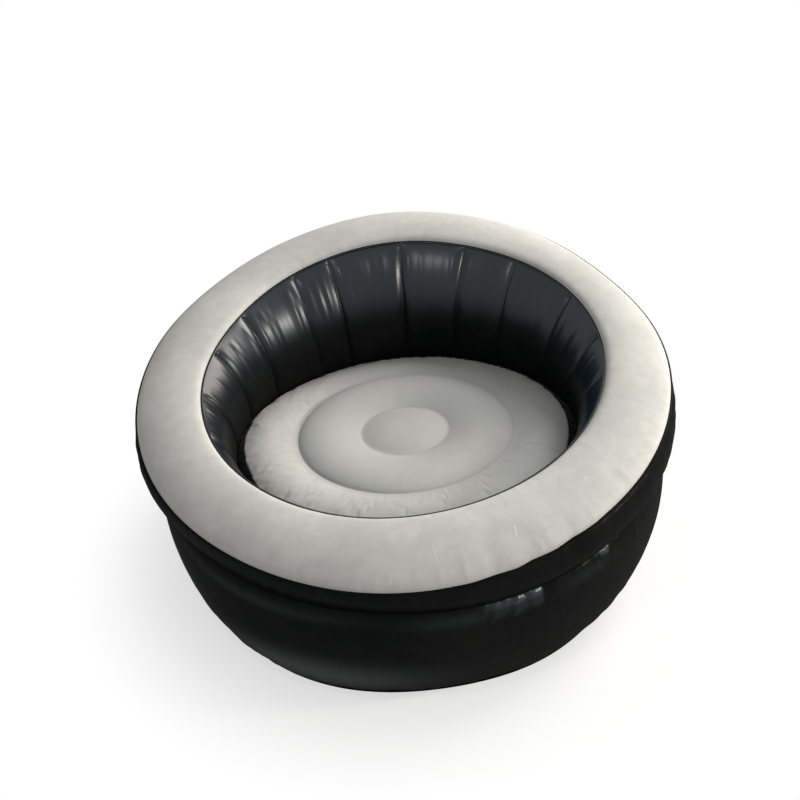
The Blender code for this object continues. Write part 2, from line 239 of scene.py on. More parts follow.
@dataclass(frozen=True)
class Puckers:
    """Short folds that run off a weld, square to it, where the film is gathered.

    Sizes are in metres: how wide, how long and how high a fold is on average, and how far from the weld it starts.
    spread_share is how far they vary, jitter is how far a fold strays from its even place, and a lower tail makes it
    die out more slowly. One in three goes inwards, by inward_share of its height.
    """

    count: int
    width: float
    length: float
    height: float
    seed: int
    start: float = 0.0
    spread_share: float = 0.5
    jitter: float = 0.45
    tail: float = 0.8
    inward_share: float = 0.6

    def field(self, angles: np.ndarray, away: np.ndarray, radius: float, density: np.ndarray) -> np.ndarray:
        """How high the folds are.

        Args:
            angles: the angles of the columns.
            away: the distance from the weld, one value per row.
            radius: the radius of the weld.
            density: how strong the folds are at each angle.

        Returns:
            An array of rows by columns.
        """
        rng = np.random.default_rng(self.seed)
        low, high = 1 - self.spread_share, 1 + self.spread_share
        strays = rng.uniform(-self.jitter, self.jitter, self.count)
        places = (np.arange(self.count) + strays) / self.count * math.tau
        widths = self.width * rng.uniform(low, high, self.count) / radius
        lengths = self.length * rng.uniform(low, high, self.count)
        heights = self.height * rng.uniform(low, high, self.count) * rng.choice([-self.inward_share, 1, 1], self.count)
        apart = (angles[None, :] - places[:, None] + math.pi) % math.tau - math.pi
        across = np.exp(-((apart / widths[:, None]) ** 2)) * heights[:, None]
        reach = np.clip(away[:, None] - self.start, 0, None) / lengths[None, :]
        along = reach * np.exp(1 - reach) * (away[:, None] >= self.start)
        return (along**self.tail) @ across * density


def spread(count: int = 720, seams: tuple = (), even_share: float = 0.45) -> np.ndarray:
    """The angles of a panel's columns.

    Args:
        count: how many there are.
        seams: the angles that they crowd towards, if there are any.
        even_share: how evenly they lie between two seams, from 0 to 1.

    Returns:
        The angle of each column, in radians.
    """
    if not seams:
        return BACK + math.tau * np.arange(count) / count
    ends = np.array([*seams, seams[0] + math.tau])
    share = np.arange(count // len(seams)) / (count // len(seams))
    crowded = even_share * share + (1 - even_share) * (1 - np.cos(math.pi * share)) / 2
    return np.concatenate([low + (high - low) * crowded for low, high in zip(ends, ends[1:])])


def eased(count: int, both: bool = True, even_share: float = 0.35) -> np.ndarray:
    """Steps from 0 to 1 that crowd towards their ends.

    Args:
        count: how many there are.
        both: whether they crowd towards 1 as well as towards 0.
        even_share: how evenly they lie, from 0 to 1.

    Returns:
        The steps.
    """
    even = np.linspace(0, 1, count)
    crowded = (1 - np.cos(math.pi * even)) / 2 if both else 1 - np.cos(math.pi * even / 2)
    return even_share * even + (1 - even_share) * crowded


def blow(
    start: np.ndarray, end: np.ndarray, along: np.ndarray, share: float | np.ndarray, fullness: tuple
) -> np.ndarray:
    """The rows of a panel that air swells between two welds, square to the panel.

    Args:
        start: the points of the first weld.
        end: the points of the second.
        along: how far each row lies from the first weld to the second, from 0 to 1.
        share: the swell of each column as a share of the distance between its welds.
        fullness: the powers of the curve at its two ends. A lower one is fuller.

    Returns:
        An array of rows by columns by 3.
    """
    chord = end - start
    side = np.roll(start, -1, axis=0) - np.roll(start, 1, axis=0)
    out = np.cross(chord, side)
    out /= np.linalg.norm(out, axis=1, keepdims=True)
    length = np.linalg.norm(chord, axis=1, keepdims=True)
    first, last = fullness
    peak = first / (first + last)
    rise = along**first * (1 - along) ** last / (peak**first * (1 - peak) ** last)
    swell = out * length * np.broadcast_to(share, length.shape[:1])[:, None]
    return start[None] + chord[None] * along[:, None, None] + swell[None] * rise[:, None, None]


def normals_of(rows: np.ndarray) -> np.ndarray:
    """The unit normals of a grid that closes round the sofa, on the side of its front faces.

    Args:
        rows: the points, rows by columns by 3.

    Returns:
        A normal for each.
    """
    around = np.roll(rows, -1, axis=1) - np.roll(rows, 1, axis=1)
    normal = np.cross(np.gradient(rows, axis=0), around)
    return normal / np.linalg.norm(normal, axis=2, keepdims=True)


def raised(rows: np.ndarray, heights: np.ndarray) -> np.ndarray:
    """The rows, each point moved out along its normal by its height."""
    return rows + normals_of(rows) * heights[:, :, None]


def gaps(rows: np.ndarray, line: int) -> np.ndarray:
    """How far each row lies from one of them, on average."""
    return np.linalg.norm(rows - rows[line][None], axis=2).mean(axis=1)


def puckered(rows: np.ndarray, angles: np.ndarray, folds: tuple) -> np.ndarray:
    """A panel with folds that run off its welds, which lie on its second row and its last row but one.

    Args:
        rows: the points of the panel.
        angles: the angle of each column.
        folds: for each set of folds, its puckers, the row that it runs off, the radius there, and its strength at
            each angle.

    Returns:
        The new points.
    """
    heights = np.zeros(rows.shape[:2])
    for puckers, line, radius, density in folds:
        heights += puckers.field(angles, gaps(rows, line), radius, density)
    heights[[0, 1, -2, -1]] = 0
    return raised(rows, heights)


def between_welds(rows: np.ndarray, welds: tuple = (0, 1, -2, -1), reach: float = 0.03) -> np.ndarray:
    """How freely each point of a panel moves: not at all on its welds, and fully a little way off.

    Args:
        rows: the points of the panel.
        welds: which rows lie on a weld.
        reach: how far from a weld the film is free.

    Returns:
        One value per point, from 0 to 1.
    """
    steps = np.linalg.norm(np.diff(rows, axis=0), axis=2)
    down = np.concatenate([np.zeros((1, rows.shape[1])), np.cumsum(steps, axis=0)])
    return smooth_step(0, reach, np.min([np.abs(down - down[weld]) for weld in welds], axis=0))


def add_object(name: str, data: bpy.types.ID) -> bpy.types.Object:
    """A new object in the scene.

    Args:
        name: its name.
        data: its mesh, lamp or camera.

    Returns:
        The object.
    """
    made = bpy.data.objects.new(name, data)
    bpy.context.scene.collection.objects.link(made)
    return made


def points_of(mesh: bpy.types.Mesh) -> np.ndarray:
    """The points of a mesh.

    Args:
        mesh: the mesh.

    Returns:
        An array of points by 3.
    """
    points = np.empty(len(mesh.vertices) * 3, dtype=np.float32)
    mesh.vertices.foreach_get("co", points)
    return points.reshape(-1, 3)


@dataclass
class Sheet:
    """A closed-round panel of film as a mesh: rows of points, the first at its first weld.

    A pole is the point that closes its first or its last row. masks are values for its material, free is how freely
    its points move when it is blown up, and slack is how much longer the film then is than the way round.
    """

    name: str
    rows: np.ndarray
    film: float
    first_pole: tuple | None = None
    last_pole: tuple | None = None
    masks: dict = field(default_factory=dict)
    free: np.ndarray | None = None
    slack: float = 0.01

    def build(self) -> bpy.types.Object:
        """Makes the mesh and its masks.

        Returns:
            The panel.
        """
        shape = self.rows.shape[:2]
        index = np.arange(shape[0] * shape[1]).reshape(shape)
        after = np.roll(index, -1, axis=1)
        faces = np.stack([index[:-1], index[1:], after[1:], after[:-1]], axis=-1).reshape(-1, 4).tolist()
        points = self.rows.reshape(-1, 3).tolist()
        for pole, ring in ((self.first_pole, index[0]), (self.last_pole, index[-1, ::-1])):
            if pole is not None:
                faces += [[len(points), *pair] for pair in np.stack([ring, np.roll(ring, -1)], axis=-1).tolist()]
                points.append(pole)
        mesh = bpy.data.meshes.new(self.name)
        mesh.from_pydata(points, [], faces)
        mesh.shade_smooth()
        for name, values in self.masks.items():
            whole = np.broadcast_to(values, shape)
            full = np.full(len(points), whole[0].mean(), dtype=np.float32)
            full[: whole.size] = whole.reshape(-1)
            mesh.attributes.new(name, "FLOAT", "POINT").data.foreach_set("value", full)
        return add_object(self.name, mesh)


@dataclass(frozen=True)
class Inflation:
    """Blows a panel up with Blender's cloth, so that slack film wrinkles by itself between its welds.

    The cloth is a grid of every skip-th row and column of the panel. limit is the furthest that a point may move, in
    metres.
    """

    pressure: float = 3.0
    stiffness: float = 30.0
    damping: float = 15.0
    bending: float = 0.4
    frames: int = 16
    limit: float = 0.012
    skip: int = 2
    held_share: float = 0.3

    def run(self, sheet: Sheet, held: np.ndarray) -> None:
        """Runs the cloth and moves the rows of the panel to its result.

        Args:
            sheet: the panel.
            held: how freely each point of its grid moves, from 0 at the welds to 1.
        """
        count_rows, count_columns = held.shape
        kept = np.unique([0, *range(1, count_rows - 1, self.skip), count_rows - 2, count_rows - 1])
        coarse = Sheet(f"{sheet.name}_cloth", sheet.rows[kept][:, :: self.skip], sheet.film, sheet.first_pole)
        piece = coarse.build()
        before = points_of(piece.data)
        given = held[kept][:, :: self.skip]
        free = np.ones(len(before))
        free[: given.size] = given.reshape(-1)
        cloth = self.set_up(piece, before, free, sheet.slack)
        for step in range(1, self.frames + 1):
            bpy.context.scene.frame_set(step)
        moved = points_of(piece.evaluated_get(bpy.context.evaluated_depsgraph_get()).data) - before
        bpy.context.scene.frame_set(1)
        piece.modifiers.remove(cloth)
        bpy.data.meshes.remove(piece.data)
        far = np.linalg.norm(moved, axis=1, keepdims=True)
        moved *= self.limit / np.maximum(far, self.limit)
        grid = moved[: given.size].reshape(*given.shape, 3)
        columns = np.arange(0, count_columns + 1, self.skip)
        closed = np.concatenate([grid, grid[:, :1]], axis=1)
        for axis in range(3):
            wide = np.array([np.interp(np.arange(count_columns), columns, row) for row in closed[:, :, axis]])
            full = np.array([np.interp(np.arange(count_rows), kept, column) for column in wide.T]).T
            sheet.rows[:, :, axis] += full * smooth_step(0, self.held_share, held)
        if sheet.first_pole is not None:
            sheet.first_pole = tuple(np.array(sheet.first_pole) + grid[0].mean(axis=0))
        LOG.info("%s blown up by %.1f mm at most", sheet.name, far.max() / MILLIMETRE)

    def set_up(
        self, piece: bpy.types.Object, before: np.ndarray, free: np.ndarray, slack: float
    ) -> bpy.types.ClothModifier:
        """Gives a grid its cloth.

        Args:
            piece: the grid.
            before: its points.
            free: how freely each one moves.
            slack: how much longer the film is round the sofa than the grid, as a share.

        Returns:
            The cloth.
        """
        pinned = piece.vertex_groups.new(name="welded")
        weights = np.round(1 - free, 2)
        for weight in np.unique(weights):
            pinned.add(np.nonzero(weights == weight)[0].tolist(), float(weight), "REPLACE")
        piece.shape_key_add(name="blown")
        cut = piece.shape_key_add(name="cut")
        longer = before.copy()
        longer[:, :2] *= 1 + slack * free[:, None]
        cut.data.foreach_set("co", longer.reshape(-1))
        cut.value = 0
        cloth = piece.modifiers.new("air", "CLOTH")
        settings = {
            "vertex_group_mass": pinned.name,
            "rest_shape_key": cut,
            "quality": 4,
            "mass": 0.2,
            "shear_stiffness": self.stiffness / 3,
            "bending_stiffness": self.bending,
            "air_damping": 2,
            "pin_stiffness": 5,
            "use_pressure": True,
            "uniform_pressure_force": self.pressure,
            **{f"{kind}_stiffness": self.stiffness for kind in ("tension", "compression")},
            **{f"{kind}_damping": self.damping for kind in ("tension", "compression", "shear")},
        }
        for name, value in settings.items():
            setattr(cloth.settings, name, value)
        cloth.settings.effector_weights.gravity = 0
        cloth.point_cache.frame_start, cloth.point_cache.frame_end = 1, self.frames
        return cloth


AIR = Inflation()


class Graph:
    """A node tree that is being filled."""

    def __init__(self, tree: bpy.types.NodeTree) -> None:
        """Takes the tree to fill."""
        self.tree = tree

    def fill(self, node: bpy.types.Node, inputs: dict) -> bpy.types.Node:
        """Gives a node its inputs.

        Args:
            node: the node.
            inputs: what each input socket holds, a value or another node's output socket.

        Returns:
            The node.
        """
        for name, value in inputs.items():
            if isinstance(value, bpy.types.NodeSocket):
                self.tree.links.new(value, node.inputs[name])
            else:
                node.inputs[name].default_value = value
        return node

    def add(self, kind: str, inputs: dict | None = None, **settings: str | bpy.types.NodeTree) -> bpy.types.Node:
        """Adds a node.

        Args:
            kind: the node's type, without ShaderNode.
            inputs: what each input socket holds, a value or another node's output socket.
            **settings: the node's own settings.

        Returns:
            The node.
        """
        node = self.tree.nodes.new(f"ShaderNode{kind}")
        for name, value in settings.items():
            setattr(node, name, value)
        return self.fill(node, inputs or {})

    def math(self, operation: str, first: Value, second: Value = 0.0) -> bpy.types.NodeSocket:
        """The result of a Math node."""
        return self.add("Math", {0: first, 1: second}, operation=operation).outputs[0]

    def times(self, first: Value, second: Value) -> bpy.types.NodeSocket:
        """The product of two numbers."""
        return self.math("MULTIPLY", first, second)

    def vector(self, operation: str, first: Value, second: Value = (0, 0, 0)) -> bpy.types.NodeSocket:
        """The result of a Vector Math node: a number for a product, a distance or a length, and else a vector."""
        node = self.add("VectorMath", {0: first, 1: second}, operation=operation)
        return node.outputs["Value" if operation in ("DOT_PRODUCT", "DISTANCE", "LENGTH") else "Vector"]

    def noise(self, place: Value, scale: Value, detail: float, roughness: float = 0.5) -> bpy.types.Node:
        """A Noise Texture node."""
        return self.add("TexNoise", {"Vector": place, "Scale": scale, "Detail": detail, "Roughness": roughness})

    def fit(self, value: Value, low: float, high: float, to_low: float, to_high: float) -> bpy.types.NodeSocket:
        """A value mapped from one range to another, and held inside it."""
        inputs = {"Value": value, "From Min": low, "From Max": high, "To Min": to_low, "To Max": to_high}
        return self.add("MapRange", inputs, interpolation_type="SMOOTHSTEP").outputs[0]

    def blend(self, share: Value, first: Value, second: Value) -> bpy.types.NodeSocket:
        """A colour between two, at a share of the way from the first to the second."""
        ends = [(*colour, 1) if isinstance(colour, tuple) else colour for colour in (first, second)]
        return self.add("Mix", {0: share, 6: ends[0], 7: ends[1]}, data_type="RGBA").outputs[2]

    def mask(self, name: str, share: float = 1.0) -> bpy.types.NodeSocket:
        """A share of a mask that the mesh carries."""
        return self.times(self.add("Attribute", attribute_name=name).outputs["Fac"], share)

    def effect(self, group: bpy.types.NodeTree, inputs: dict) -> bpy.types.NodeSocket:
        """The result of a shared effect."""
        return self.add("Group", inputs, node_tree=group).outputs[0]

    def bump(self, height: Value, strength: float, distance: float, **inputs: Value) -> bpy.types.NodeSocket:
        """The normal of a Bump node."""
        return self.add("Bump", {"Height": height, "Strength": strength, "Distance": distance, **inputs}).outputs[0]

    def end(self, result: bpy.types.NodeSocket) -> bpy.types.NodeTree:
        """Closes a group with its one result."""
        self.fill(self.tree.nodes.new("NodeGroupOutput"), {0: result})
        return self.tree


def new_group(name: str, inputs: dict, output: str) -> tuple:
    """Starts a shader node group.

    Args:
        name: its name.
        inputs: the default of each input, or None for a vector.
        output: the name of its one output, which is a value.

    Returns:
        The group's graph, and what comes in at each of its inputs.
    """
    tree = bpy.data.node_groups.new(name, "ShaderNodeTree")
    for label, value in inputs.items():
        kind = "NodeSocketVector" if value is None else "NodeSocketFloat"
        socket = tree.interface.new_socket(name=label, in_out="INPUT", socket_type=kind)
        if value is not None:
            socket.default_value = value
    tree.interface.new_socket(name=output, in_out="OUTPUT", socket_type="NodeSocketFloat")
    return Graph(tree), tree.nodes.new("NodeGroupInput").outputs[: len(inputs)]


class Effects:
    """The node groups that the finishes share, each built once."""

    def __init__(self) -> None:
        """Builds them all."""
        self.mottle = self.build_mottle()
        self.grain = self.build_grain()
        self.crinkle = self.build_crinkle()
        self.rub = self.build_rub()

    @staticmethod
    def build_mottle() -> bpy.types.NodeTree:
        """Soft patches over finer ones, from 0 to 1.

        Returns:
            The group.
        """
        graph, given = new_group("Mottle", {"Vector": None, "Scale": 8.0, "Fineness": 5.0}, "Patches")
        place, scale, fineness = given
        coarse = graph.noise(place, scale, 4.0, 0.6).outputs[0]
        fine = graph.noise(place, graph.times(scale, fineness), 3.0, 0.65).outputs[0]
        whole = graph.math("ADD", graph.times(fine, 0.4), graph.times(coarse, 0.6))
        return graph.end(graph.fit(whole, 0.32, 0.68, 0.0, 1.0))

    @staticmethod
    def build_grain() -> bpy.types.NodeTree:
        """The height of a fine grain, from 0 to 1.

        Returns:
            The group.
        """
        graph, given = new_group("Grain", {"Vector": None, "Scale": 900.0, "Pitting": 0.5}, "Height")
        place, scale, pitting = given
        cells = graph.add("TexVoronoi", {"Vector": place, "Scale": scale}).outputs["Distance"]
        return graph.end(graph.math("ADD", graph.noise(place, scale, 2.0, 0.6).outputs[0], graph.times(cells, pitting)))

    @staticmethod
    def build_crinkle() -> bpy.types.NodeTree:
        """The height of soft wrinkles with sharper ridges, from 0 to about 1.

        Returns:
            The group.
        """
        graph, given = new_group("Crinkle", {"Vector": None, "Scale": 30.0, "Ridges": 0.5}, "Height")
        place, scale, ridges = given
        warp = graph.vector("MULTIPLY", graph.noise(place, scale, 1.0).outputs[1], (0.05, 0.05, 0.05))
        folds = graph.noise(graph.vector("ADD", place, warp), scale, 2.0).outputs[0]
        ridged = graph.math("SUBTRACT", 0.5, graph.math("ABSOLUTE", graph.math("SUBTRACT", folds, 0.5)))
        return graph.end(graph.math("ADD", folds, graph.times(ridged, ridges)))

    @staticmethod
    def build_rub() -> bpy.types.NodeTree:
        """A mask of one short rub mark between two points, seen from above.

        Returns:
            The group.
        """
        graph, given = new_group("Rub", {"Vector": None, "From": None, "To": None, "Width": 0.002}, "Mask")
        place, start, end, width = given
        flat = graph.vector("MULTIPLY", place, (1, 1, 0))
        along = graph.vector("SUBTRACT", end, start)
        off = graph.vector("SUBTRACT", flat, start)
        share = graph.math("DIVIDE", graph.vector("DOT_PRODUCT", off, along), graph.vector("DOT_PRODUCT", along, along))
        held = graph.math("MINIMUM", graph.math("MAXIMUM", share, 0.0), 1.0)
        apart = graph.vector("DISTANCE", off, graph.vector("MULTIPLY", along, held))
        worn = graph.fit(graph.noise(flat, 260.0, 1.0).outputs[0], 0.35, 0.6, 0.3, 1.0)
        return graph.end(graph.times(graph.fit(graph.math("DIVIDE", apart, width), 0.2, 1.0, 1.0, 0.0), worn))


def start_material(name: str) -> tuple:
    """A new material.

    Args:
        name: its name.

    Returns:
        The material, its graph, its shader and the place of each point on the object.
    """
    made = bpy.data.materials.new(name)
    made.use_nodes = True
    graph = Graph(made.node_tree)
    return made, graph, made.node_tree.nodes["Principled BSDF"], graph.add("TexCoord").outputs["Object"]


@dataclass(frozen=True)
class FlockFinish:
    """Short grey nap on vinyl: matt, softly mottled where it was brushed, with a pale sheen at a low angle.

    It is darkened by painted shade where the mesh says worn, which gives way to painted light on one side of the seat,
    darkened by painted crease shade on a weld, and black where it is bare, which is painted crevice shade at the seat's
    edge. rubs are pale marks: two ends, seen from above, and a width.
    """

    dark: tuple = (0.475, 0.47, 0.45)
    pale: tuple = (0.58, 0.57, 0.54)
    rubbed: tuple = (0.70, 0.69, 0.66)
    # The colour of the nap's dark specks, and of the painted crease shade along the welds.
    welded: tuple = (0.30, 0.295, 0.28)
    # The colour of the painted shade over the seat.
    painted_seat_shade: tuple = (0.345, 0.352, 0.345)
    # The black of bare film, which stands as painted crevice shade at the seat's edge.
    film: tuple = (0.0015, 0.0016, 0.0017)
    rubs: tuple = (
        ((-0.0165, -0.538, 0), (-0.0170, -0.5555, 0), 0.0024),
        ((0.0630, -0.4885, 0), (0.0690, -0.5180, 0), 0.0016),
        ((0.2160, -0.4500, 0), (0.2190, -0.4700, 0), 0.0022),
        ((0.3560, -0.3420, 0), (0.3610, -0.3370, 0), 0.0018),
    )
    speck_share: float = 0.22
    seat_shade_share: float = 0.65
    rub_share: float = 0.7
    weld_shade_share: float = 0.45
    nap_depth: float = 0.0006

    def build(self, effects: Effects) -> bpy.types.Material:
        """Makes the material.

        Args:
            effects: the shared effects.

        Returns:
            The material.
        """
        made, graph, shader, place = start_material("grey_flock")
        patches = graph.effect(effects.mottle, {"Vector": place, "Scale": 6.0, "Fineness": 6.0})
        nap = graph.effect(effects.grain, {"Vector": place, "Scale": 420.0, "Pitting": 0.3})
        fine = graph.effect(effects.grain, {"Vector": place, "Scale": 1400.0, "Pitting": 0.2})
        colour = graph.blend(patches, self.dark, self.pale)
        layers = [
            (graph.fit(nap, 0.35, 0.95, 0.0, self.speck_share), self.welded),
            # Painted shade over the seat, which gives way to painted light on one side.
            (graph.mask("worn", self.seat_shade_share), self.painted_seat_shade),
        ]
        for start, end, width in self.rubs:
            rub = graph.effect(effects.rub, {"Vector": place, "From": start, "To": end, "Width": width})
            layers.append((graph.times(rub, self.rub_share), self.rubbed))
        # Painted crease shade along the welds, and black bare film as painted crevice shade at the seat's edge.
        layers += [(graph.mask("weld", self.weld_shade_share), self.welded), (graph.mask("bare"), self.film)]
        for share, over in layers:
            colour = graph.blend(share, colour, over)
        height = graph.math("ADD", graph.times(nap, 0.6), graph.times(fine, 0.4))
        graph.fill(
            shader,
            {
                "Base Color": colour,
                "Normal": graph.bump(height, 0.5, self.nap_depth),
                "Roughness": 0.95,
                "Specular IOR Level": 0.05,
                "Sheen Weight": 0.05,
                "Sheen Roughness": 0.5,
            },
        )
        return made


@dataclass(frozen=True)
class VinylFinish:
    """Black vinyl film, satin with a soft gloss, finely grained and a little crinkled where it is slack.

    Its coat goes from satin to polished as the mesh's gloss goes from 0 to 1, and its mottled dusty black takes on
    a painted blue reflection tint with the square of that gloss.
    """

    black: tuple = (0.0051, 0.0057, 0.0057)
    dusty: tuple = (0.0090, 0.0096, 0.0092)
    # A painted blue reflection tint that glossy film takes.
    blue_reflection: tuple = (0.006, 0.010, 0.015)
    smooth: float = 0.40
    dull: float = 0.55
    satin: float = 0.04
    polished: float = 0.70
    grain_depth: float = 0.00004
    crinkle_depth: float = 0.0012

    def build(self, effects: Effects) -> bpy.types.Material:
        """Makes the material.

        Args:
            effects: the shared effects.

        Returns:
            The material.
        """
        made, graph, shader, place = start_material("black_vinyl")
        gloss = graph.mask("gloss")
        patches = graph.effect(effects.mottle, {"Vector": place, "Scale": 5.0, "Fineness": 9.0})
        worn = graph.effect(effects.mottle, {"Vector": place, "Scale": 11.0, "Fineness": 7.0})
        grain = graph.effect(effects.grain, {"Vector": place, "Scale": 700.0, "Pitting": 0.6})
        slack = graph.effect(effects.crinkle, {"Vector": place, "Scale": 16.0, "Ridges": 0.6})
        film = graph.blend(patches, self.black, self.dusty)
        grained = graph.bump(grain, 0.35, self.grain_depth)
        graph.fill(
            shader,
            {
                # Painted blue reflection tint, as strong as the square of the gloss.
                "Base Color": graph.blend(graph.times(gloss, gloss), film, self.blue_reflection),
                "Roughness": graph.fit(worn, 0.0, 1.0, self.smooth, self.dull),
                "Normal": graph.bump(slack, 0.5, self.crinkle_depth, Normal=grained),
                "Coat Weight": graph.fit(gloss, 0.0, 1.0, self.satin, self.polished),
                "Coat Roughness": 0.3,
                "Specular IOR Level": 0.0,
            },
        )
        return made


@dataclass(frozen=True)
class MouldedFinish:
    """Moulded plastic or rubber of the valves."""

    name: str
    dark: tuple
    pale: tuple
    smooth: float
    dull: float
    grain_scale: float
    grain_depth: float

    def build(self, effects: Effects) -> bpy.types.Material:
        """Makes the material.

        Args:
            effects: the shared effects.

        Returns:
            The material.
        """
        made, graph, shader, place = start_material(self.name)
        patches = graph.effect(effects.mottle, {"Vector": place, "Scale": 60.0, "Fineness": 6.0})
        grain = graph.effect(effects.grain, {"Vector": place, "Scale": self.grain_scale, "Pitting": 0.5})
        graph.fill(
            shader,
            {
                "Base Color": graph.blend(patches, self.dark, self.pale),
                "Roughness": graph.fit(patches, 0.0, 1.0, self.smooth, self.dull),
                "Normal": graph.bump(grain, 0.4, self.grain_depth),
            },
        )
        return made


PLASTIC = MouldedFinish("valve_plastic", (0.026, 0.026, 0.028), (0.038, 0.038, 0.040), 0.38, 0.55, 1500.0, 0.00006)
RUBBER = MouldedFinish("valve_rubber", (0.015, 0.015, 0.015), (0.024, 0.024, 0.023), 0.62, 0.8, 900.0, 0.0001)


class Finishes:
    """Every material of the sofa, and which slot each one stands for."""

    def __init__(self) -> None:
        """Builds the shared effects and the materials."""
        effects = Effects()
        finishes = {Slot.VINYL: VinylFinish(), Slot.FLOCK: FlockFinish(), Slot.PLASTIC: PLASTIC, Slot.RUBBER: RUBBER}
        self.made = {slot: finish.build(effects) for slot, finish in finishes.items()}

    def dress(self, piece: bpy.types.Object, slot: Slot) -> None:
        """Gives a new piece its material."""
        piece.data.materials.append(self.made[slot])

    def dress_inside(self) -> None:
        """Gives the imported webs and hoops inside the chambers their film."""
        for node, piece in frame["nodes"].items():
            if node.startswith(("backrest_web", "seat_beam")):
                for holder in piece.material_slots:
                    holder.material = self.made[Slot.VINYL]


@dataclass
class Panel:
    """What every blown panel shares: how it is finished, how it rides and what it replaces."""

    finishes: Finishes

    def finish(
        self, sheet: Sheet, slot: Slot, node: str, fill: float | None = 1.0, valve: "ValvePlace | None" = None
    ) -> None:
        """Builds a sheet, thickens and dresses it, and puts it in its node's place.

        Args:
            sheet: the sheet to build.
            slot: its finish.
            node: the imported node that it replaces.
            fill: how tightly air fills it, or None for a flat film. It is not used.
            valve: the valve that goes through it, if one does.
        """
        if sheet.free is not None:
            AIR.run(sheet, sheet.free if valve is None else sheet.free * valve.away(sheet.rows))
            sheet.rows[:, :, 2] = np.maximum(sheet.rows[:, :, 2], FILMS.wall)
        piece = sheet.build()
        if valve is not None:
            valve.pierce(piece)
        solid = piece.modifiers.new("film", "SOLIDIFY")
        solid.thickness, solid.offset = sheet.film, -1
        self.finishes.dress(piece, slot)
        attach(piece, "sofa")
        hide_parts(node)
        LOG.info("%s: %d vertices", piece.name, len(piece.data.vertices))


@dataclass
class Seat(Panel):
    """The flocked seat: a crowned eye and two crowned rings between welds that are drawn down.

    Painted shade darkens the seat, apart from a painted lit patch on one side of the outer ring that begins and is
    whole between two distances off the ring's weld. The flock stops short of the seat's edge, and the black film past
    it is painted crevice shade.
    """

    eye_crown: float = 0.012
    eye_rows: int = 16
    inner_share: float = 0.10
    inner_fullness: tuple = (1.0, 0.75)
    inner_rows: int = 26
    outer_share: Side = Side(90, 0.1, 0.9, 0.19, -0.065)
    outer_fullness: tuple = (0.95, 0.33)
    outer_rows: int = 64
    # Where the painted seat shade gives way to painted light, and how far off the ring's weld that begins and is whole.
    painted_light_side: Side = Side(188, 0.2, 0.9, 0.0, 0.85)
    painted_light_start: tuple = (-0.002, 0.004)
    edge_folds: Side = Side(35, -0.2, 0.8, 0.3, 0.8)
    ring_folds: Side = Side(20, 0.2, 0.9, 0.2, 0.5)
    weld_shade_width: float = 0.0018
    weld_reach: float = 0.02
    cut_width: float = 0.0008
    slack: float = 0.0015

    def build(self) -> None:
        """Makes the seat."""
        angles = spread()
        eye, ring = SEAT_EYE.points(angles), SEAT_RING.points(angles)
        edge = SEAT_EDGE.points(angles, up=-FILMS.lap_lift)
        middle = np.array([0, SEAT_EYE.centre, SEAT_EYE.height + SEAT_EYE.rise_share * SEAT_EYE.centre])
        shares = np.linspace(0, 1, self.eye_rows)[1:-1]
        dome = middle + (eye - middle)[None] * shares[:, None, None]
        dome[:, :, 2] += self.eye_crown * (1 - shares[:, None] ** 2)
        inner = blow(eye, ring, eased(self.inner_rows), self.inner_share, self.inner_fullness)
        outer = blow(ring, edge, eased(self.outer_rows), self.outer_share.at(angles), self.outer_fullness)
        rows = np.concatenate([dome, inner, outer[1:], SEAT_EDGE.points(angles, FILMS.lap, -FILMS.lap_lift)[None]])
        rows = raised(rows, self.gathers(rows, angles))
        radii = np.hypot(rows[:, :, 0], rows[:, :, 1] - SEAT_EDGE.centre)
        past = radii - np.hypot(*(FLOCK_EDGE.points(angles) - np.array([0, FLOCK_EDGE.centre, 0])).T[:2])
        outside = smooth_step(*self.painted_light_start, past + FLOCK_EDGE.radius - SEAT_RING.radius)
        near = np.min([np.abs(radii - weld.radius) for weld in (SEAT_EYE, SEAT_RING, SEAT_EDGE)], axis=0)
        masks = {
            # Painted crease shade along the seat's three welds.
            "weld": np.exp(-((near / self.weld_shade_width) ** 2)),
            # Black bare film past the flock's edge: painted crevice shade by the wall.
            "bare": smooth_step(-self.cut_width, self.cut_width, past),
            # Painted shade over the seat, less of it on the painted lit side of the outer ring.
            "worn": 1 - self.painted_light_side.at(angles) * outside,
        }
        pole = tuple(middle + np.array([0, 0, self.eye_crown]))
        free = between_welds(rows, (len(dome), len(dome) + len(inner) - 1, -2, -1), self.weld_reach)
        sheet = Sheet("seat_cushion", rows, FILMS.flocked, first_pole=pole, masks=masks, free=free, slack=self.slack)
        self.finish(sheet, Slot.FLOCK, "seat_panel")

    def gathers(self, rows: np.ndarray, angles: np.ndarray) -> np.ndarray:
        """The height of the folds that run off the three welds.

        Args:
            rows: the points of the seat.
            angles: the angle of each column.

        Returns:
            A height for each point.
        """
        radii = np.hypot(rows[:, :, 0], rows[:, :, 1] - SEAT_EDGE.centre).mean(axis=1)
        total = np.zeros(rows.shape[:2])
        for puckers, radius, sign, folds in (
            (Puckers(110, 0.0042, 0.020, 0.0011, 11), SEAT_EDGE.radius, -1, self.edge_folds),
            (Puckers(70, 0.0040, 0.012, 0.0006, 12), SEAT_RING.radius, 1, self.ring_folds),
            (Puckers(66, 0.0038, 0.010, 0.0005, 13), SEAT_RING.radius, -1, self.ring_folds),
            (Puckers(36, 0.0034, 0.009, 0.0004, 14), SEAT_EYE.radius, 1, self.ring_folds),
        ):
            away = sign * (radii - radius)
            total += puckers.field(angles, np.where(away > 0, away, -1), radius, folds.at(angles))
        return total


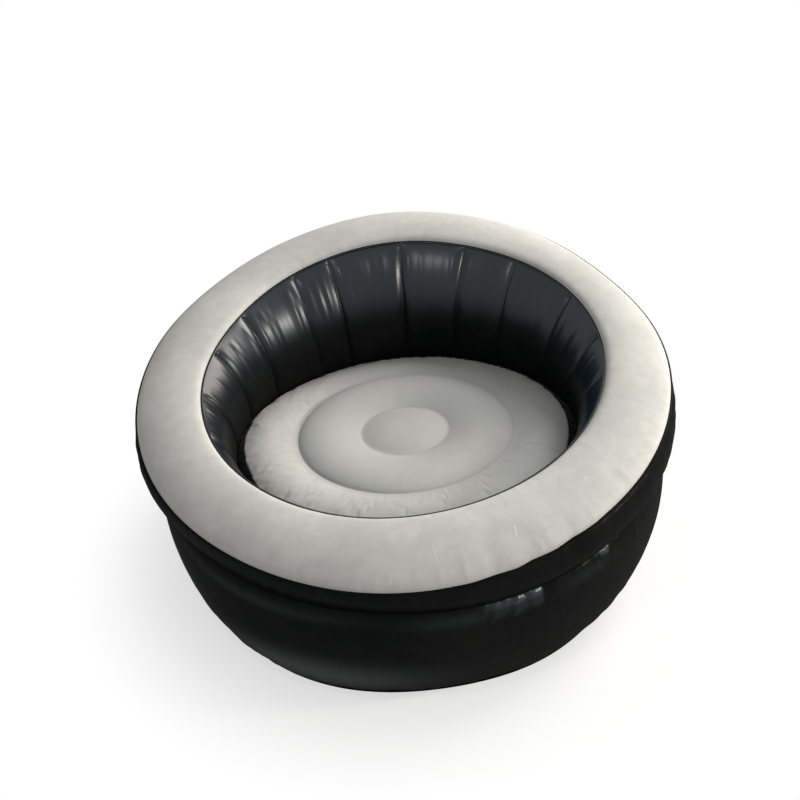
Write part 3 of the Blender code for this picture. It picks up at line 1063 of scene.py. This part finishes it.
@dataclass
class Rim(Panel):
    """The flocked top of the air ring, and the thin weld that edges it."""

    crown_share: float = 0.13
    fullness: tuple = (0.45, 0.45)
    rows_across: int = 46
    inner_folds: float = 0.6
    front_folds: Side = Side(-55, 0.2, 0.9, 0.25, 0.75)
    weld_shade_width: float = 0.004
    weld_shade_share: float = 0.45

    def build(self) -> None:
        """Makes the flocked top."""
        angles = spread()
        inner, outer = OPENING.points(angles, up=FILMS.top_lift), RIM.points(angles, up=FILMS.top_lift)
        blown = blow(inner, outer, eased(self.rows_across), self.crown_share, self.fullness)
        margin = OPENING.points(angles, -FILMS.trim, FILMS.top_lift)
        fin = RIM.points(angles, FILMS.trim, FILMS.top_lift)
        rows = np.concatenate([margin[None], blown, fin[None]])
        near = np.minimum(gaps(rows, 1), gaps(rows, -2))[:, None]
        folds = (
            (Puckers(90, 0.0055, 0.010, 0.0004, 21), 1, OPENING.radius, self.inner_folds),
            (Puckers(80, 0.0090, 0.012, 0.0005, 22), -2, RIM.radius, self.front_folds.at(angles)),
        )
        rows = puckered(rows, angles, folds)
        # Painted crease shade along both welded edges of the rim.
        masks = {"weld": np.exp(-((near / self.weld_shade_width) ** 2)) * self.weld_shade_share}
        sheet = Sheet("rim_top", rows, FILMS.flocked, masks=masks, free=between_welds(rows))
        self.finish(sheet, Slot.FLOCK, "rim_top_panel")


@dataclass
class Backrest(Panel):
    """The black wall round the bowl, in twenty upright channels with gathered film at their upper ends.

    seam_turns are the seams that stray from their even places: the seam's number, and how far, in degrees. A seam
    deepens between the shares of the way up in seam_start and fades between those in seam_end, and the wall gets
    shiny between those in shine_start. seam_hold is how far a seam holds the film.
    """

    channels: int = 20
    swell_share: float = 0.155
    uneven_share: float = 0.05
    fullness: tuple = (0.75, 0.8)
    seam_depth: float = 0.008
    seam_width: float = 0.007
    seam_lean: float = 6.0
    seam_start: tuple = (0.0, 0.2)
    seam_end: tuple = (0.95, 1.0)
    seam_hold: float = 0.012
    seam_turns: tuple = ((0, 0.5), (1, 4.0), (2, -2.5), (3, 1.0), (16, -2.0), (17, -2.0), (18, 1.5), (19, -0.5))
    left_folds: Side = Side(150, -0.2, 0.8, 0.25, 0.5)
    right_folds: Side = Side(10, 0.5, 1.0, 0.0, 0.3)
    foot_folds: float = 0.7
    shine: Side = Side(200, 0.5, 1.0, 1.0, -0.45)
    shine_start: tuple = (0.25, 0.8)
    slack: float = 0.012
    seed: int = 31
    rows_up: int = 64

    def seams(self) -> tuple:
        """The angle of each seam between two channels, from the back round to the left."""
        step, turns = 360 / self.channels, dict(self.seam_turns)
        return tuple(BACK + math.radians(step * at + turns.get(at, 0)) for at in range(self.channels))

    def build(self) -> None:
        """Makes the wall."""
        seams = self.seams()
        angles = spread(seams=seams)
        starts = np.array([*seams, seams[0] + math.tau])
        channel = np.searchsorted(starts, angles, side="right") - 1
        from_seam = np.minimum(angles - starts[channel], starts[channel + 1] - angles) * SEAT_EDGE.radius
        rounded = 1 - np.exp(-from_seam / self.seam_width)
        uneven = self.uneven_share * np.random.default_rng(self.seed).uniform(-1, 1, self.channels)[channel]
        leaning = angles - math.radians(self.seam_lean) * np.cos(angles)
        foot, top = SEAT_EDGE.points(angles, up=FILMS.lap_lift), OPENING.points(leaning, up=FILMS.wall_drop)
        along = eased(self.rows_up)
        blown = blow(foot, top, along, self.swell_share * (1 + uneven * rounded), self.fullness)
        lap = SEAT_EDGE.points(angles, FILMS.lap, FILMS.lap_lift)
        margin = OPENING.points(leaning, -FILMS.bare, FILMS.wall_drop)
        rows = np.concatenate([lap[None], blown, margin[None]])
        drawn = smooth_step(*self.seam_start, along) * (1 - smooth_step(*self.seam_end, along))
        depth = self.seam_depth * drawn[:, None] * (1 - rounded)[None]
        upper = (self.left_folds.at(angles) + self.right_folds.at(angles)) * rounded
        folds = (
            (Puckers(104, 0.0050, 0.034, 0.0019, 32, start=0.016), -2, OPENING.radius, upper),
            (Puckers(64, 0.0090, 0.045, 0.0012, 33, start=0.021), -2, OPENING.radius, upper),
            (Puckers(90, 0.0045, 0.016, 0.0010, 34, start=0.004), 1, SEAT_EDGE.radius, self.foot_folds * rounded),
        )
        rows = puckered(rows, angles, folds)
        rows[1:-1] -= normals_of(rows)[1:-1] * depth[:, :, None]
        gloss = np.concatenate([[0], smooth_step(*self.shine_start, along), [1]])[:, None] * self.shine.at(angles)
        free = between_welds(rows) * smooth_step(0, self.seam_hold, from_seam)
        sheet = Sheet("backrest_wall", rows, FILMS.wall, masks={"gloss": gloss}, free=free, slack=self.slack)
        self.finish(sheet, Slot.VINYL, "backrest_inner_wall")


@dataclass(frozen=True)
class ValvePlace:
    """Where a valve sits: a point on its wall, and the direction out of the wall."""

    origin: Vector
    out: Vector

    @classmethod
    def of(cls, name: str, hinge_lift: float, hinge_reach: float) -> "ValvePlace":
        """Reads a valve's place from its joints.

        Args:
            name: the valve.
            hinge_lift: how far its cap's hinge lies out of the wall.
            hinge_reach: how far the hinge lies below the middle of the valve.

        Returns:
            The place.
        """
        joints = {joint["name"]: joint for joint in frame["joints"]}
        out = Vector(joints[f"{name}_pull"]["axis"]).normalized()
        hinge = Vector(joints[f"{name}_cap_hinge"]["pos_m"])
        up = Vector((1, 0, 0)).cross(out)
        return cls(hinge - out * hinge_lift + up * hinge_reach, out)

    @property
    def matrix(self) -> Matrix:
        """The valve's own frame, with +Y out of the wall and +Z up along it.

        Returns:
            The matrix from that frame to the sofa's.
        """
        up = Vector((1, 0, 0)).cross(self.out)
        turn = Matrix((Vector((1, 0, 0)), self.out, up)).transposed()
        return Matrix.Translation(self.origin) @ turn.to_4x4()

    def distances(self, points: np.ndarray) -> tuple:
        """How far points lie out of the valve's plane, and how far from its axis.

        Args:
            points: the points.

        Returns:
            Both distances of each point.
        """
        apart = points - np.array(self.origin)
        lift = apart @ np.array(self.out)
        flat = apart - lift[..., None] * np.array(self.out)
        return lift, np.linalg.norm(flat, axis=-1)

    def away(self, rows: np.ndarray, inner: float = 0.031, outer: float = 0.085) -> np.ndarray:
        """Zero where the valve's weld holds the film, and one away from it."""
        lift, far = self.distances(rows)
        return 1 - (1 - smooth_step(inner, outer, far)) * (np.abs(lift) < outer)

    def flatten(self, rows: np.ndarray) -> None:
        """Lays a wall flat round the valve, where its weld holds the film."""
        lift, _ = self.distances(rows)
        rows -= ((1 - self.away(rows)) * lift)[..., None] * np.array(self.out)

    def pierce(self, piece: bpy.types.Object, radius: float = 0.0215) -> None:
        """Cuts the round hole for the valve's neck, which the flange covers.

        Args:
            piece: the wall.
            radius: the radius of the hole.
        """
        shaping = bmesh.new()
        shaping.from_mesh(piece.data)
        lift, far = self.distances(np.array([face.calc_center_median() for face in shaping.faces]))
        shaping.faces.ensure_lookup_table()
        inside = np.nonzero((far < radius) & (np.abs(lift) < radius))[0]
        bmesh.ops.delete(shaping, geom=[shaping.faces[at] for at in inside], context="FACES")
        for corner in shaping.verts:
            apart = corner.co - self.origin
            flat = apart - self.out * apart.dot(self.out)
            if corner.is_boundary and flat.length < 2 * radius and abs(apart.dot(self.out)) < radius:
                corner.co = self.origin + flat.normalized() * radius
        shaping.to_mesh(piece.data)
        shaping.free()


@dataclass
class OuterBand(Panel):
    """The black outside wall of the air ring, low in front and high at the back, round its valve."""

    valve: ValvePlace
    swell_share: Side = Side(-90, -0.15, 0.45, 0.08, 0.15)
    left_dip: Bump = Bump(-0.13, -130, 26)
    fullness: tuple = (0.55, 0.55)
    rows_down: int = 46

    def build(self) -> None:
        """Makes the wall."""
        angles = spread()
        top, foot = RIM.points(angles, up=FILMS.wall_drop), CREASE.points(angles, up=FILMS.crease_lift)
        share = self.swell_share.at(angles) + self.left_dip.at(angles)
        blown = blow(top, foot, eased(self.rows_down), share, self.fullness)
        fin = RIM.points(angles, FILMS.fin, FILMS.wall_drop)
        foot_fin = CREASE.points(angles, FILMS.fin, FILMS.crease_lift)
        rows = np.concatenate([fin[None], blown, foot_fin[None]])
        folds = (
            (Puckers(90, 0.0070, 0.020, 0.0010, 41), 1, RIM.radius, 1.0),
            (Puckers(110, 0.0055, 0.022, 0.0011, 42), -2, CREASE.radius, 1.0),
        )
        rows = puckered(rows, angles, folds)
        self.valve.flatten(rows)
        masks = {"gloss": OUTSIDE_SHINE.at(angles)}
        sheet = Sheet("ring_outer_wall", rows, FILMS.wall, masks=masks, free=between_welds(rows))
        self.finish(sheet, Slot.VINYL, "rim_outer_band", valve=self.valve)


@dataclass(frozen=True)
class Shine:
    """A patch of shinier film on a wall, with more of the painted blue reflection tint: its heading and half width in
    degrees, and its height and reach.
    """

    heading: float
    width: float
    height: float
    reach: float
    strength: float

    def at(self, rows: np.ndarray, angles: np.ndarray) -> np.ndarray:
        """How shiny the film is at each point, from 0 to 1."""
        across = Bump(self.strength, self.heading, self.width).at(angles)
        return across[None] * np.exp(-(((rows[:, :, 2] - self.height) / self.reach) ** 2))


@dataclass(frozen=True)
class Facets:
    """Flat facets that slack film falls into under a weld, each of which tips a little to the right.

    heading is the right end of them, in degrees, and widths are theirs from there to the left. leans are how far each
    crack between them runs to the left, in degrees per metre down. slope is how far a facet rises per degree. They
    begin between two depths under height, and fade between two shares of drop. right_fade is in degrees, left_fade
    in shares of the whole width, and the shine sinks to low_shine between the two depths of shine_fade.
    """

    heading: float
    widths: tuple
    leans: tuple
    height: float
    drop: float
    slope: float
    begin: tuple = (-0.004, 0.002)
    fade: tuple = (0.35, 1.0)
    right_fade: tuple = (-0.4, 0.6)
    left_fade: tuple = (0.6, 1.25)
    shine_fade: tuple = (0.006, 0.016)
    low_shine: float = 0.45

    def field(self, rows: np.ndarray, angles: np.ndarray) -> tuple:
        """How far the facets stand out, and how shiny they are.

        Args:
            rows: the points of the wall.
            angles: the angle of each column.

        Returns:
            The rise and the shine of each point.
        """
        below = self.height - rows[:, :, 2]
        down = np.clip(below, 0, None)
        turned = (math.radians(self.heading) - angles + math.pi) % math.tau - math.pi
        left = np.broadcast_to(np.degrees(turned), below.shape)
        past = np.zeros(rows.shape[:2])
        edge = 0.0
        for width, lean in zip((0.0, *self.widths), (0.0, *self.leans)):
            edge += width
            crack = edge + lean * down
            past = np.where(left > crack, left - crack, past)
        used = (left > 0) & (left < edge + self.leans[-1] * down)
        low, high = (share * self.drop for share in self.fade)
        shown = smooth_step(*self.begin, below) * (1 - smooth_step(low, high, below))
        low, high = (share * edge for share in self.left_fade)
        ends = smooth_step(*self.right_fade, left) * (1 - smooth_step(low, high, left))
        bright = self.low_shine + (1 - self.low_shine) * (1 - smooth_step(*self.shine_fade, below))
        return self.slope * np.where(used, past, 0) * shown, ends * shown * bright


@dataclass
class BaseWall(Panel):
    """The black side wall of the base: out of the crease, over the bulge, and drawn in to the bottom weld."""

    valve: ValvePlace
    facets: tuple = (
        Facets(-61.0, (3.6, 2.4, 3.0, 2.0, 2.4), (-25, 60, -40, 45, 10), 0.250, 0.045, 0.0019),
        Facets(-43.0, (1.6, 1.2), (20, 0), 0.254, 0.018, 0.0016),
    )
    shines: tuple = (
        Shine(-118, 26, 0.242, 0.014, 0.30),
        Shine(-78, 14, 0.232, 0.016, 0.35),
        Shine(-50, 9, 0.232, 0.018, 0.30),
        Shine(-106, 26, 0.085, 0.055, 0.45),
        Shine(-178, 30, 0.120, 0.080, 0.40),
    )
    crease_folds: Side = Side(-50, 0.3, 1.0, 0.35, 0.65)
    bottom_turn: float = math.radians(70)
    rows_over: int = 22
    rows_down: int = 44

    def build(self) -> None:
        """Makes the wall."""
        angles = spread()
        crease = CREASE.points(angles, up=-FILMS.crease_lift)
        bulge = BULGE.points(angles)
        bottom = BOTTOM.points(angles, up=FILMS.foot_lift)
        over = eased(self.rows_over, both=False) * BACK
        upper = self.between(crease, bulge, np.sin(over), 1 - np.cos(over))
        turn = np.linspace(0, 1, self.rows_down)[1:] * self.bottom_turn
        inward = (1 - np.cos(turn)) / (1 - math.cos(self.bottom_turn))
        lower = self.between(bulge, bottom, inward, np.sin(turn) / math.sin(self.bottom_turn))
        fin = CREASE.points(angles, FILMS.fin, -FILMS.crease_lift)
        foot = BOTTOM.points(angles, FILMS.fin, FILMS.foot_lift)
        rows = np.concatenate([fin[None], upper, lower, foot[None]])
        folds = (
            (Puckers(100, 0.0065, 0.016, 0.0014, 51), 1, CREASE.radius, self.crease_folds.at(angles)),
            (Puckers(120, 0.0080, 0.030, 0.0014, 52), -2, BOTTOM.radius, 1.0),
        )
        rows = puckered(rows, angles, folds)
        gloss = np.max([shine.at(rows, angles) for shine in self.shines], axis=0)
        gloss = np.maximum(gloss, OUTSIDE_SHINE.at(angles))
        held = np.zeros(rows.shape[:2])
        for facets in self.facets:
            rise, shine = facets.field(rows, angles)
            rows = raised(rows, rise)
            gloss, held = np.maximum(gloss, shine), np.maximum(held, shine)
        rows[:, :, 2] = np.maximum(rows[:, :, 2], FILMS.wall)
        self.valve.flatten(rows)
        free = between_welds(rows) * (1 - np.clip(held, 0, 1))
        sheet = Sheet("base_outer_wall", rows, FILMS.wall, masks={"gloss": gloss}, free=free)
        self.finish(sheet, Slot.VINYL, "base_side_wall", valve=self.valve)

    @staticmethod
    def between(first: np.ndarray, last: np.ndarray, across: np.ndarray, down: np.ndarray) -> np.ndarray:
        """Rows between two circles, each by its share of the way across and its share of the way down."""
        shares = np.stack([across, across, down], axis=-1)[:, None, :]
        return first[None] + (last - first)[None] * shares


@dataclass
class FlatFilms(Panel):
    """The bottom that the sofa stands on, and the floor of the air ring, whose edge shows in the crease."""

    columns: int = 360
    rings: int = 24

    def build(self) -> None:
        """Makes both."""
        angles = spread(self.columns)
        edge = BOTTOM.points(angles, FILMS.fin)
        middle = np.array([0, BOTTOM.centre, 0.0])
        rows = middle + (edge - middle)[None] * np.linspace(1, 0, self.rings + 1)[:-1, None, None]
        self.finish(Sheet("bottom", rows, FILMS.wall, last_pole=tuple(middle)), Slot.VINYL, "bottom_panel", None)
        inner = SEAT_EDGE.points(angles, up=FILMS.wall / 2)
        lap = SEAT_EDGE.points(angles, FILMS.lap, FILMS.wall / 2)
        outer = CREASE.points(angles, -FILMS.fin, FILMS.wall / 2)
        fin = CREASE.points(angles, FILMS.fin, FILMS.wall / 2)
        rows = np.stack([inner, lap, (lap + outer) / 2, outer, fin])
        self.finish(Sheet("ring_floor", rows, FILMS.wall), Slot.VINYL, "ring_floor_panel", None)


def filleted(outline: list, radius: float, steps: int = 4, most: float = 0.45) -> list:
    """A closed outline with its corners rounded, apart from those on the axis.

    Args:
        outline: its (radius, lift) corners.
        radius: how far back each corner is cut.
        steps: how many stretches each round corner has.
        most: the most that a corner takes of an edge, as a share.

    Returns:
        The (radius, lift) points.
    """
    rounded = []
    for before, corner, after in zip(outline[-1:] + outline[:-1], outline, outline[1:] + outline[:1]):
        here = Vector(corner)
        if here.x == 0:
            rounded.append(corner)
            continue
        arms = [Vector(point) - here for point in (before, after)]
        reach = min(radius, *(arm.length * most for arm in arms))
        first, last = (here + arm.normalized() * reach for arm in arms)
        for step in range(steps + 1):
            share = step / steps
            point = first * (1 - share) ** 2 + here * 2 * share * (1 - share) + last * share**2
            rounded.append((point.x, point.y))
    return rounded


@dataclass
class AirValve:
    """A moulded air valve: a welded flange, a push-in insert, a stopper on its strap and a check flap."""

    name: str
    finishes: Finishes
    flange_radius: float = 0.028
    flange_thickness: float = 0.0015
    collar_radius: float = 0.021
    collar_lift: float = 0.0035
    neck_radius: float = 0.0192
    neck_depth: float = 0.014
    neck_bore: float = 0.0172
    clearance: float = 0.0003
    insert_depth: float = 0.015
    lip_radius: float = 0.0205
    lip_thickness: float = 0.0015
    bore: float = 0.0078
    cap_radius: float = 0.0115
    cap_thickness: float = 0.0016
    plug_clearance: float = 0.0004
    plug_tip: float = 0.0058
    plug_length: float = 0.005
    strap_width: float = 0.007
    strap_reach: float = 0.0145
    tab_reach: float = 0.0165
    flap_radius: float = 0.0095
    flap_thickness: float = 0.0008
    flap_tab_width: float = 0.006
    flap_tab_reach: float = 0.0105
    tip_share: float = 0.32
    tip_steps: int = 7
    root_share: float = 0.8
    sides: int = 96
    edge: float = 0.0003
    merge: float = 1e-6
    sharp_turn: float = math.radians(40)

    @property
    def cap_seat(self) -> float:
        """How far out of the wall the stopper's disc rests."""
        return self.collar_lift + 2 * self.clearance + self.lip_thickness

    def place(self) -> ValvePlace:
        """Where the valve sits, from its joints."""
        return ValvePlace.of(self.name, self.cap_seat + self.cap_thickness / 2, self.strap_reach)

    def build(self) -> None:
        """Makes the pieces of the valve."""
        self.build_flange()
        self.build_insert()
        self.build_stopper()
        self.build_flap()

    def turned(self, node: str, outline: list, slot: Slot, body: str) -> None:
        """Turns a closed outline into a round piece that stands for a node.

        Args:
            node: the node's name, without the valve's.
            outline: the (radius, lift) corners.
            slot: the finish.
            body: the body that it rides on.
        """
        profile = np.array(filleted(outline, self.edge))
        turn = np.linspace(0, math.tau, self.sides, endpoint=False)
        lift = np.repeat(profile[:, 1:2], self.sides, axis=1)
        own = np.stack([np.outer(profile[:, 0], np.cos(turn)), lift, np.outer(profile[:, 0], np.sin(turn))], axis=-1)
        index = np.arange(own.shape[0] * self.sides).reshape(own.shape[:2])
        below, after = np.roll(index, -1, axis=0), np.roll(index, -1, axis=1)
        quads = np.stack([index, below, np.roll(below, -1, axis=1), after], axis=-1)
        hollow = profile[0, 0] > 0
        quads = (quads if hollow else quads[:-1]).reshape(-1, 4)
        piece = self.add_piece(f"{node}_moulding", own.reshape(-1, 3), quads.tolist(), slot, body)
        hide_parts(f"{self.name}_{node}")

    def tongue(self, name: str, width: float, lifts: tuple, reaches: tuple, slot: Slot, body: str) -> None:
        """Adds a flat strap or tab with round corners.

        Args:
            name: the piece's name, without the valve's.
            width: its width.
            lifts: its lowest and highest point out of the wall.
            reaches: its two ends along the valve's own Z.
            slot: the finish.
            body: the body that it rides on.
        """
        low, high = reaches
        tip = width * self.tip_share
        ends = [(-width / 2, low), (width / 2, low)]
        ends += [
            (width / 2 - tip * (1 - math.cos(turn)), high - tip + tip * math.sin(turn))
            for turn in np.linspace(0, BACK, self.tip_steps)
        ]
        ends += [(-x, z) for x, z in reversed(ends[2:])]
        points = [(x, lift, z) for lift in lifts for x, z in ends]
        count = len(ends)
        faces = [list(range(count)), list(range(2 * count - 1, count - 1, -1))]
        faces += [[at, (at + 1) % count, (at + 1) % count + count, at + count] for at in range(count)]
        piece = self.add_piece(name, np.array(points), faces, slot, body)
        soft = piece.modifiers.new("edge", "BEVEL")
        soft.width = min(self.edge, (lifts[1] - lifts[0]) / 4)
        soft.segments = 2

    def add_piece(self, name: str, points: np.ndarray, faces: list, slot: Slot, body: str) -> bpy.types.Object:
        """Adds a closed mesh in its place, dresses it and sets it on its body.

        Args:
            name: the piece's name, without the valve's.
            points: its points, in the valve's own frame.
            faces: the points of each face.
            slot: the finish.
            body: the body that it rides on.

        Returns:
            The piece.
        """
        mesh = bpy.data.meshes.new(f"{self.name}_{name}")
        mesh.from_pydata(points.tolist(), [], faces)
        shaping = bmesh.new()
        shaping.from_mesh(mesh)
        bmesh.ops.remove_doubles(shaping, verts=shaping.verts[:], dist=self.merge)
        bmesh.ops.dissolve_degenerate(shaping, edges=shaping.edges[:], dist=self.merge)
        bmesh.ops.recalc_face_normals(shaping, faces=shaping.faces[:])
        shaping.to_mesh(mesh)
        shaping.free()
        mesh.transform(self.place().matrix)
        mesh.shade_smooth()
        mesh.set_sharp_from_angle(angle=self.sharp_turn)
        piece = add_object(mesh.name, mesh)
        self.finishes.dress(piece, slot)
        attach(piece, body)
        LOG.info("%s on %s", piece.name, body)
        return piece

    def build_flange(self) -> None:
        """The ring that is welded to the film, with a bead round its edge and a neck into the chamber."""
        face = self.clearance + self.flange_thickness
        bead = self.flange_thickness / 3
        outline = [
            (self.neck_bore, -self.neck_depth),
            (self.neck_radius, -self.neck_depth),
            (self.neck_radius, self.clearance),
            (self.flange_radius, self.clearance),
            (self.flange_radius, face),
            (self.flange_radius - 2 * bead, face),
            (self.flange_radius - 3 * bead, face - bead),
            (self.collar_radius + 3 * bead, face - bead),
            (self.collar_radius + 2 * bead, face),
            (self.collar_radius, face),
            (self.collar_radius, self.collar_lift),
            (self.neck_bore, self.collar_lift),
        ]
        self.turned("flange", outline, Slot.PLASTIC, "sofa")

    def build_insert(self) -> None:
        """The push-in body, with a ridge round its bore."""
        body_radius = self.neck_bore - self.clearance
        seat = self.collar_lift + self.clearance
        top = seat + self.lip_thickness
        groove = self.lip_thickness / 4
        outline = [
            (self.bore, -self.insert_depth),
            (body_radius, -self.insert_depth),
            (body_radius, seat),
            (self.lip_radius, seat),
            (self.lip_radius, top),
            (self.cap_radius + 4 * groove, top),
            (self.cap_radius + 3 * groove, top - groove),
            (self.cap_radius + groove, top - groove),
            (self.cap_radius, top),
            (self.bore, top),
        ]
        self.turned("insert", outline, Slot.PLASTIC, f"{self.name}_insert")

    def build_stopper(self) -> None:
        """The cap that plugs the bore, with a pull tab above and a strap to its hinge below."""
        body = f"{self.name}_stopper"
        seat, top = self.cap_seat, self.cap_seat + self.cap_thickness
        dish = self.cap_thickness / 4
        outline = [
            (0, seat - self.plug_length),
            (self.plug_tip, seat - self.plug_length),
            (self.bore - self.plug_clearance, seat),
            (self.cap_radius, seat),
            (self.cap_radius, top),
            (self.cap_radius - 4 * dish, top),
            (self.cap_radius - 5 * dish, top - dish),
            (0, top - dish),
        ]
        self.turned("stopper", outline, Slot.RUBBER, body)
        inset = self.cap_thickness / 8
        lifts = (seat + inset, top - inset)
        root = self.cap_radius * self.root_share
        self.tongue("stopper_tab", self.strap_width, lifts, (root, self.tab_reach), Slot.RUBBER, body)
        self.tongue("stopper_strap", self.strap_width, lifts, (-self.strap_reach, -root), Slot.RUBBER, body)

    def build_flap(self) -> None:
        """The soft disc over the inner end of the bore."""
        body = f"{self.name}_flap"
        outer = -(self.insert_depth + self.clearance)
        inner = outer - self.flap_thickness
        outline = [(0, inner), (self.flap_radius, inner), (self.flap_radius, outer), (0, outer)]
        self.turned("flap", outline, Slot.RUBBER, body)
        inset = self.flap_thickness / 8
        lifts = (inner + inset, outer - inset)
        reaches = (self.flap_radius * self.root_share, self.flap_tab_reach)
        self.tongue("flap_tab", self.flap_tab_width, lifts, reaches, Slot.RUBBER, body)


@dataclass(frozen=True)
class Lamp:
    """A soft round lamp that looks at the sofa."""

    name: str
    place: tuple
    power: float
    size: float
    colour: tuple
    aim: tuple = (0.0, 0.0, 0.3)

    def light(self) -> None:
        """Hangs the lamp."""
        data = bpy.data.lights.new(self.name, "AREA")
        data.shape = "DISK"
        data.size = self.size
        data.energy = self.power
        data.color = self.colour
        lamp = add_object(self.name, data)
        lamp.location = self.place
        lamp.rotation_mode = "QUATERNION"
        lamp.rotation_quaternion = (Vector(self.aim) - Vector(self.place)).to_track_quat("-Z", "Y")


@dataclass(frozen=True)
class Studio:
    """A pale floor, soft lamps and a white surround.

    The floor keeps shadow_share of its shadow near the sofa, and clear is where that starts and stops to fade.
    """

    floor_radius: float = 16.0
    floor_sides: int = 64
    floor_drop: float = 0.0002
    floor_colour: tuple = (0.80, 0.80, 0.79, 1)
    white: tuple = (1, 1, 1, 1)
    shadow_share: float = 0.36
    clear: tuple = (0.50, 0.80)
    ambient: float = 0.33
    lamps: tuple = (
        Lamp("key", (3.47, 2.90, 2.54), 410.0, 3.36, (1.0, 0.97, 0.91)),
        Lamp("side", (2.9, -0.75, 1.45), 50.0, 0.5, (1.0, 0.97, 0.91)),
        Lamp("window", (-0.5, -1.5, 3.0), 12.0, 0.4, (0.95, 0.98, 1.0)),
    )

    def build(self) -> None:
        """Makes the floor, the surround and the lamps."""
        self.surround()
        self.floor()
        for lamp in self.lamps:
            lamp.light()

    @staticmethod
    def emptied(holder: bpy.types.ID) -> Graph:
        """The graph of a new world or material, with nothing in it yet.

        Args:
            holder: the world or the material.

        Returns:
            The graph.
        """
        holder.use_nodes = True
        holder.node_tree.nodes.clear()
        return Graph(holder.node_tree)

    @staticmethod
    def seen(graph: Graph) -> bpy.types.NodeSocket:
        """One for a ray of the camera, a reflection or a refraction.

        Args:
            graph: where the answer is wanted.

        Returns:
            The socket that says so.
        """
        path = graph.add("LightPath")
        either = graph.math("MAXIMUM", path.outputs["Is Camera Ray"], path.outputs["Is Glossy Ray"])
        return graph.math("MAXIMUM", either, path.outputs["Is Transmission Ray"])

    def surround(self) -> None:
        """White where the camera, or a reflection, sees it, and a soft grey light elsewhere."""
        world = bpy.data.worlds.new("surround")
        bpy.context.scene.world = world
        graph = self.emptied(world)
        strength = graph.math("ADD", graph.times(self.seen(graph), 1 - self.ambient), self.ambient)
        back = graph.add("Background", {"Color": self.white, "Strength": strength})
        graph.add("OutputWorld", {0: back.outputs[0]})

    def floor(self) -> None:
        """A wide disc that stays white round the sofa and keeps its shadow."""
        mesh = bpy.data.meshes.new("studio_floor")
        turns = np.linspace(0, math.tau, self.floor_sides, endpoint=False)
        corners = [(self.floor_radius * math.cos(turn), self.floor_radius * math.sin(turn), 0) for turn in turns]
        mesh.from_pydata(corners, [], [list(range(self.floor_sides))])
        made = bpy.data.materials.new("studio_floor")
        graph = self.emptied(made)
        matt = graph.add("BsdfDiffuse", {"Color": self.floor_colour})
        white = graph.add("Emission", {"Color": self.white, "Strength": 1.0})
        away = graph.vector("LENGTH", graph.add("TexCoord").outputs["Object"])
        plain = graph.fit(away, *self.clear, 1 - self.shadow_share, 1.0)
        share = graph.times(self.seen(graph), plain)
        mixed = graph.add("MixShader", {0: share, 1: matt.outputs[0], 2: white.outputs[0]})
        graph.add("OutputMaterial", {0: mixed.outputs[0]})
        mesh.materials.append(made)
        piece = add_object("studio_floor", mesh)
        piece.location.z = -self.floor_drop


@dataclass(frozen=True)
class PhotoCamera:
    """The camera of the photograph, which looks down into the bowl from the front.

    middle is the place of the target in a picture that is as many pixels wide and high as picture says.
    """

    azimuth: float = 3.98
    elevation: float = 33.92
    roll: float = -5.53
    distance: float = 2.807
    target: tuple = (0.0, -0.0373, 0.4164)
    sensor: float = 36.0
    lens: float = 59.796
    picture: int = 800
    middle: tuple = (400.65, 387.85)

    def build(self) -> None:
        """Sets the camera up."""
        data = bpy.data.cameras.new("photo_camera")
        data.sensor_width = self.sensor
        data.lens = self.lens
        half = self.picture / 2
        data.shift_x = (half - self.middle[0]) / self.picture
        data.shift_y = (self.middle[1] - half) / self.picture
        turn, rise = math.radians(self.azimuth), math.radians(self.elevation)
        away = Vector((math.sin(turn) * math.cos(rise), -math.cos(turn) * math.cos(rise), math.sin(rise)))
        look = (-away).to_track_quat("-Z", "Y").to_matrix().to_4x4()
        place = Matrix.Translation(Vector(self.target) + away * self.distance)
        camera = add_object("photo_camera", data)
        camera.matrix_world = place @ look @ Matrix.Rotation(math.radians(self.roll), 4, "Z")
        bpy.context.scene.camera = camera


def main() -> None:
    """Builds the sofa, the studio and the camera."""
    logging.basicConfig(level=logging.INFO, format="%(name)s: %(message)s")
    PhotoCamera().build()
    Studio().build()
    finishes = Finishes()
    base_valve, ring_valve = AirValve("base_valve", finishes), AirValve("ring_valve", finishes)
    for piece in (
        FlatFilms(finishes),
        BaseWall(finishes, base_valve.place()),
        Seat(finishes),
        Backrest(finishes),
        Rim(finishes),
        OuterBand(finishes, ring_valve.place()),
        base_valve,
        ring_valve,
    ):
        piece.build()
    finishes.dress_inside()
    bpy.context.scene.view_settings.view_transform = "Standard"


if __name__ == "__main__":
    main()
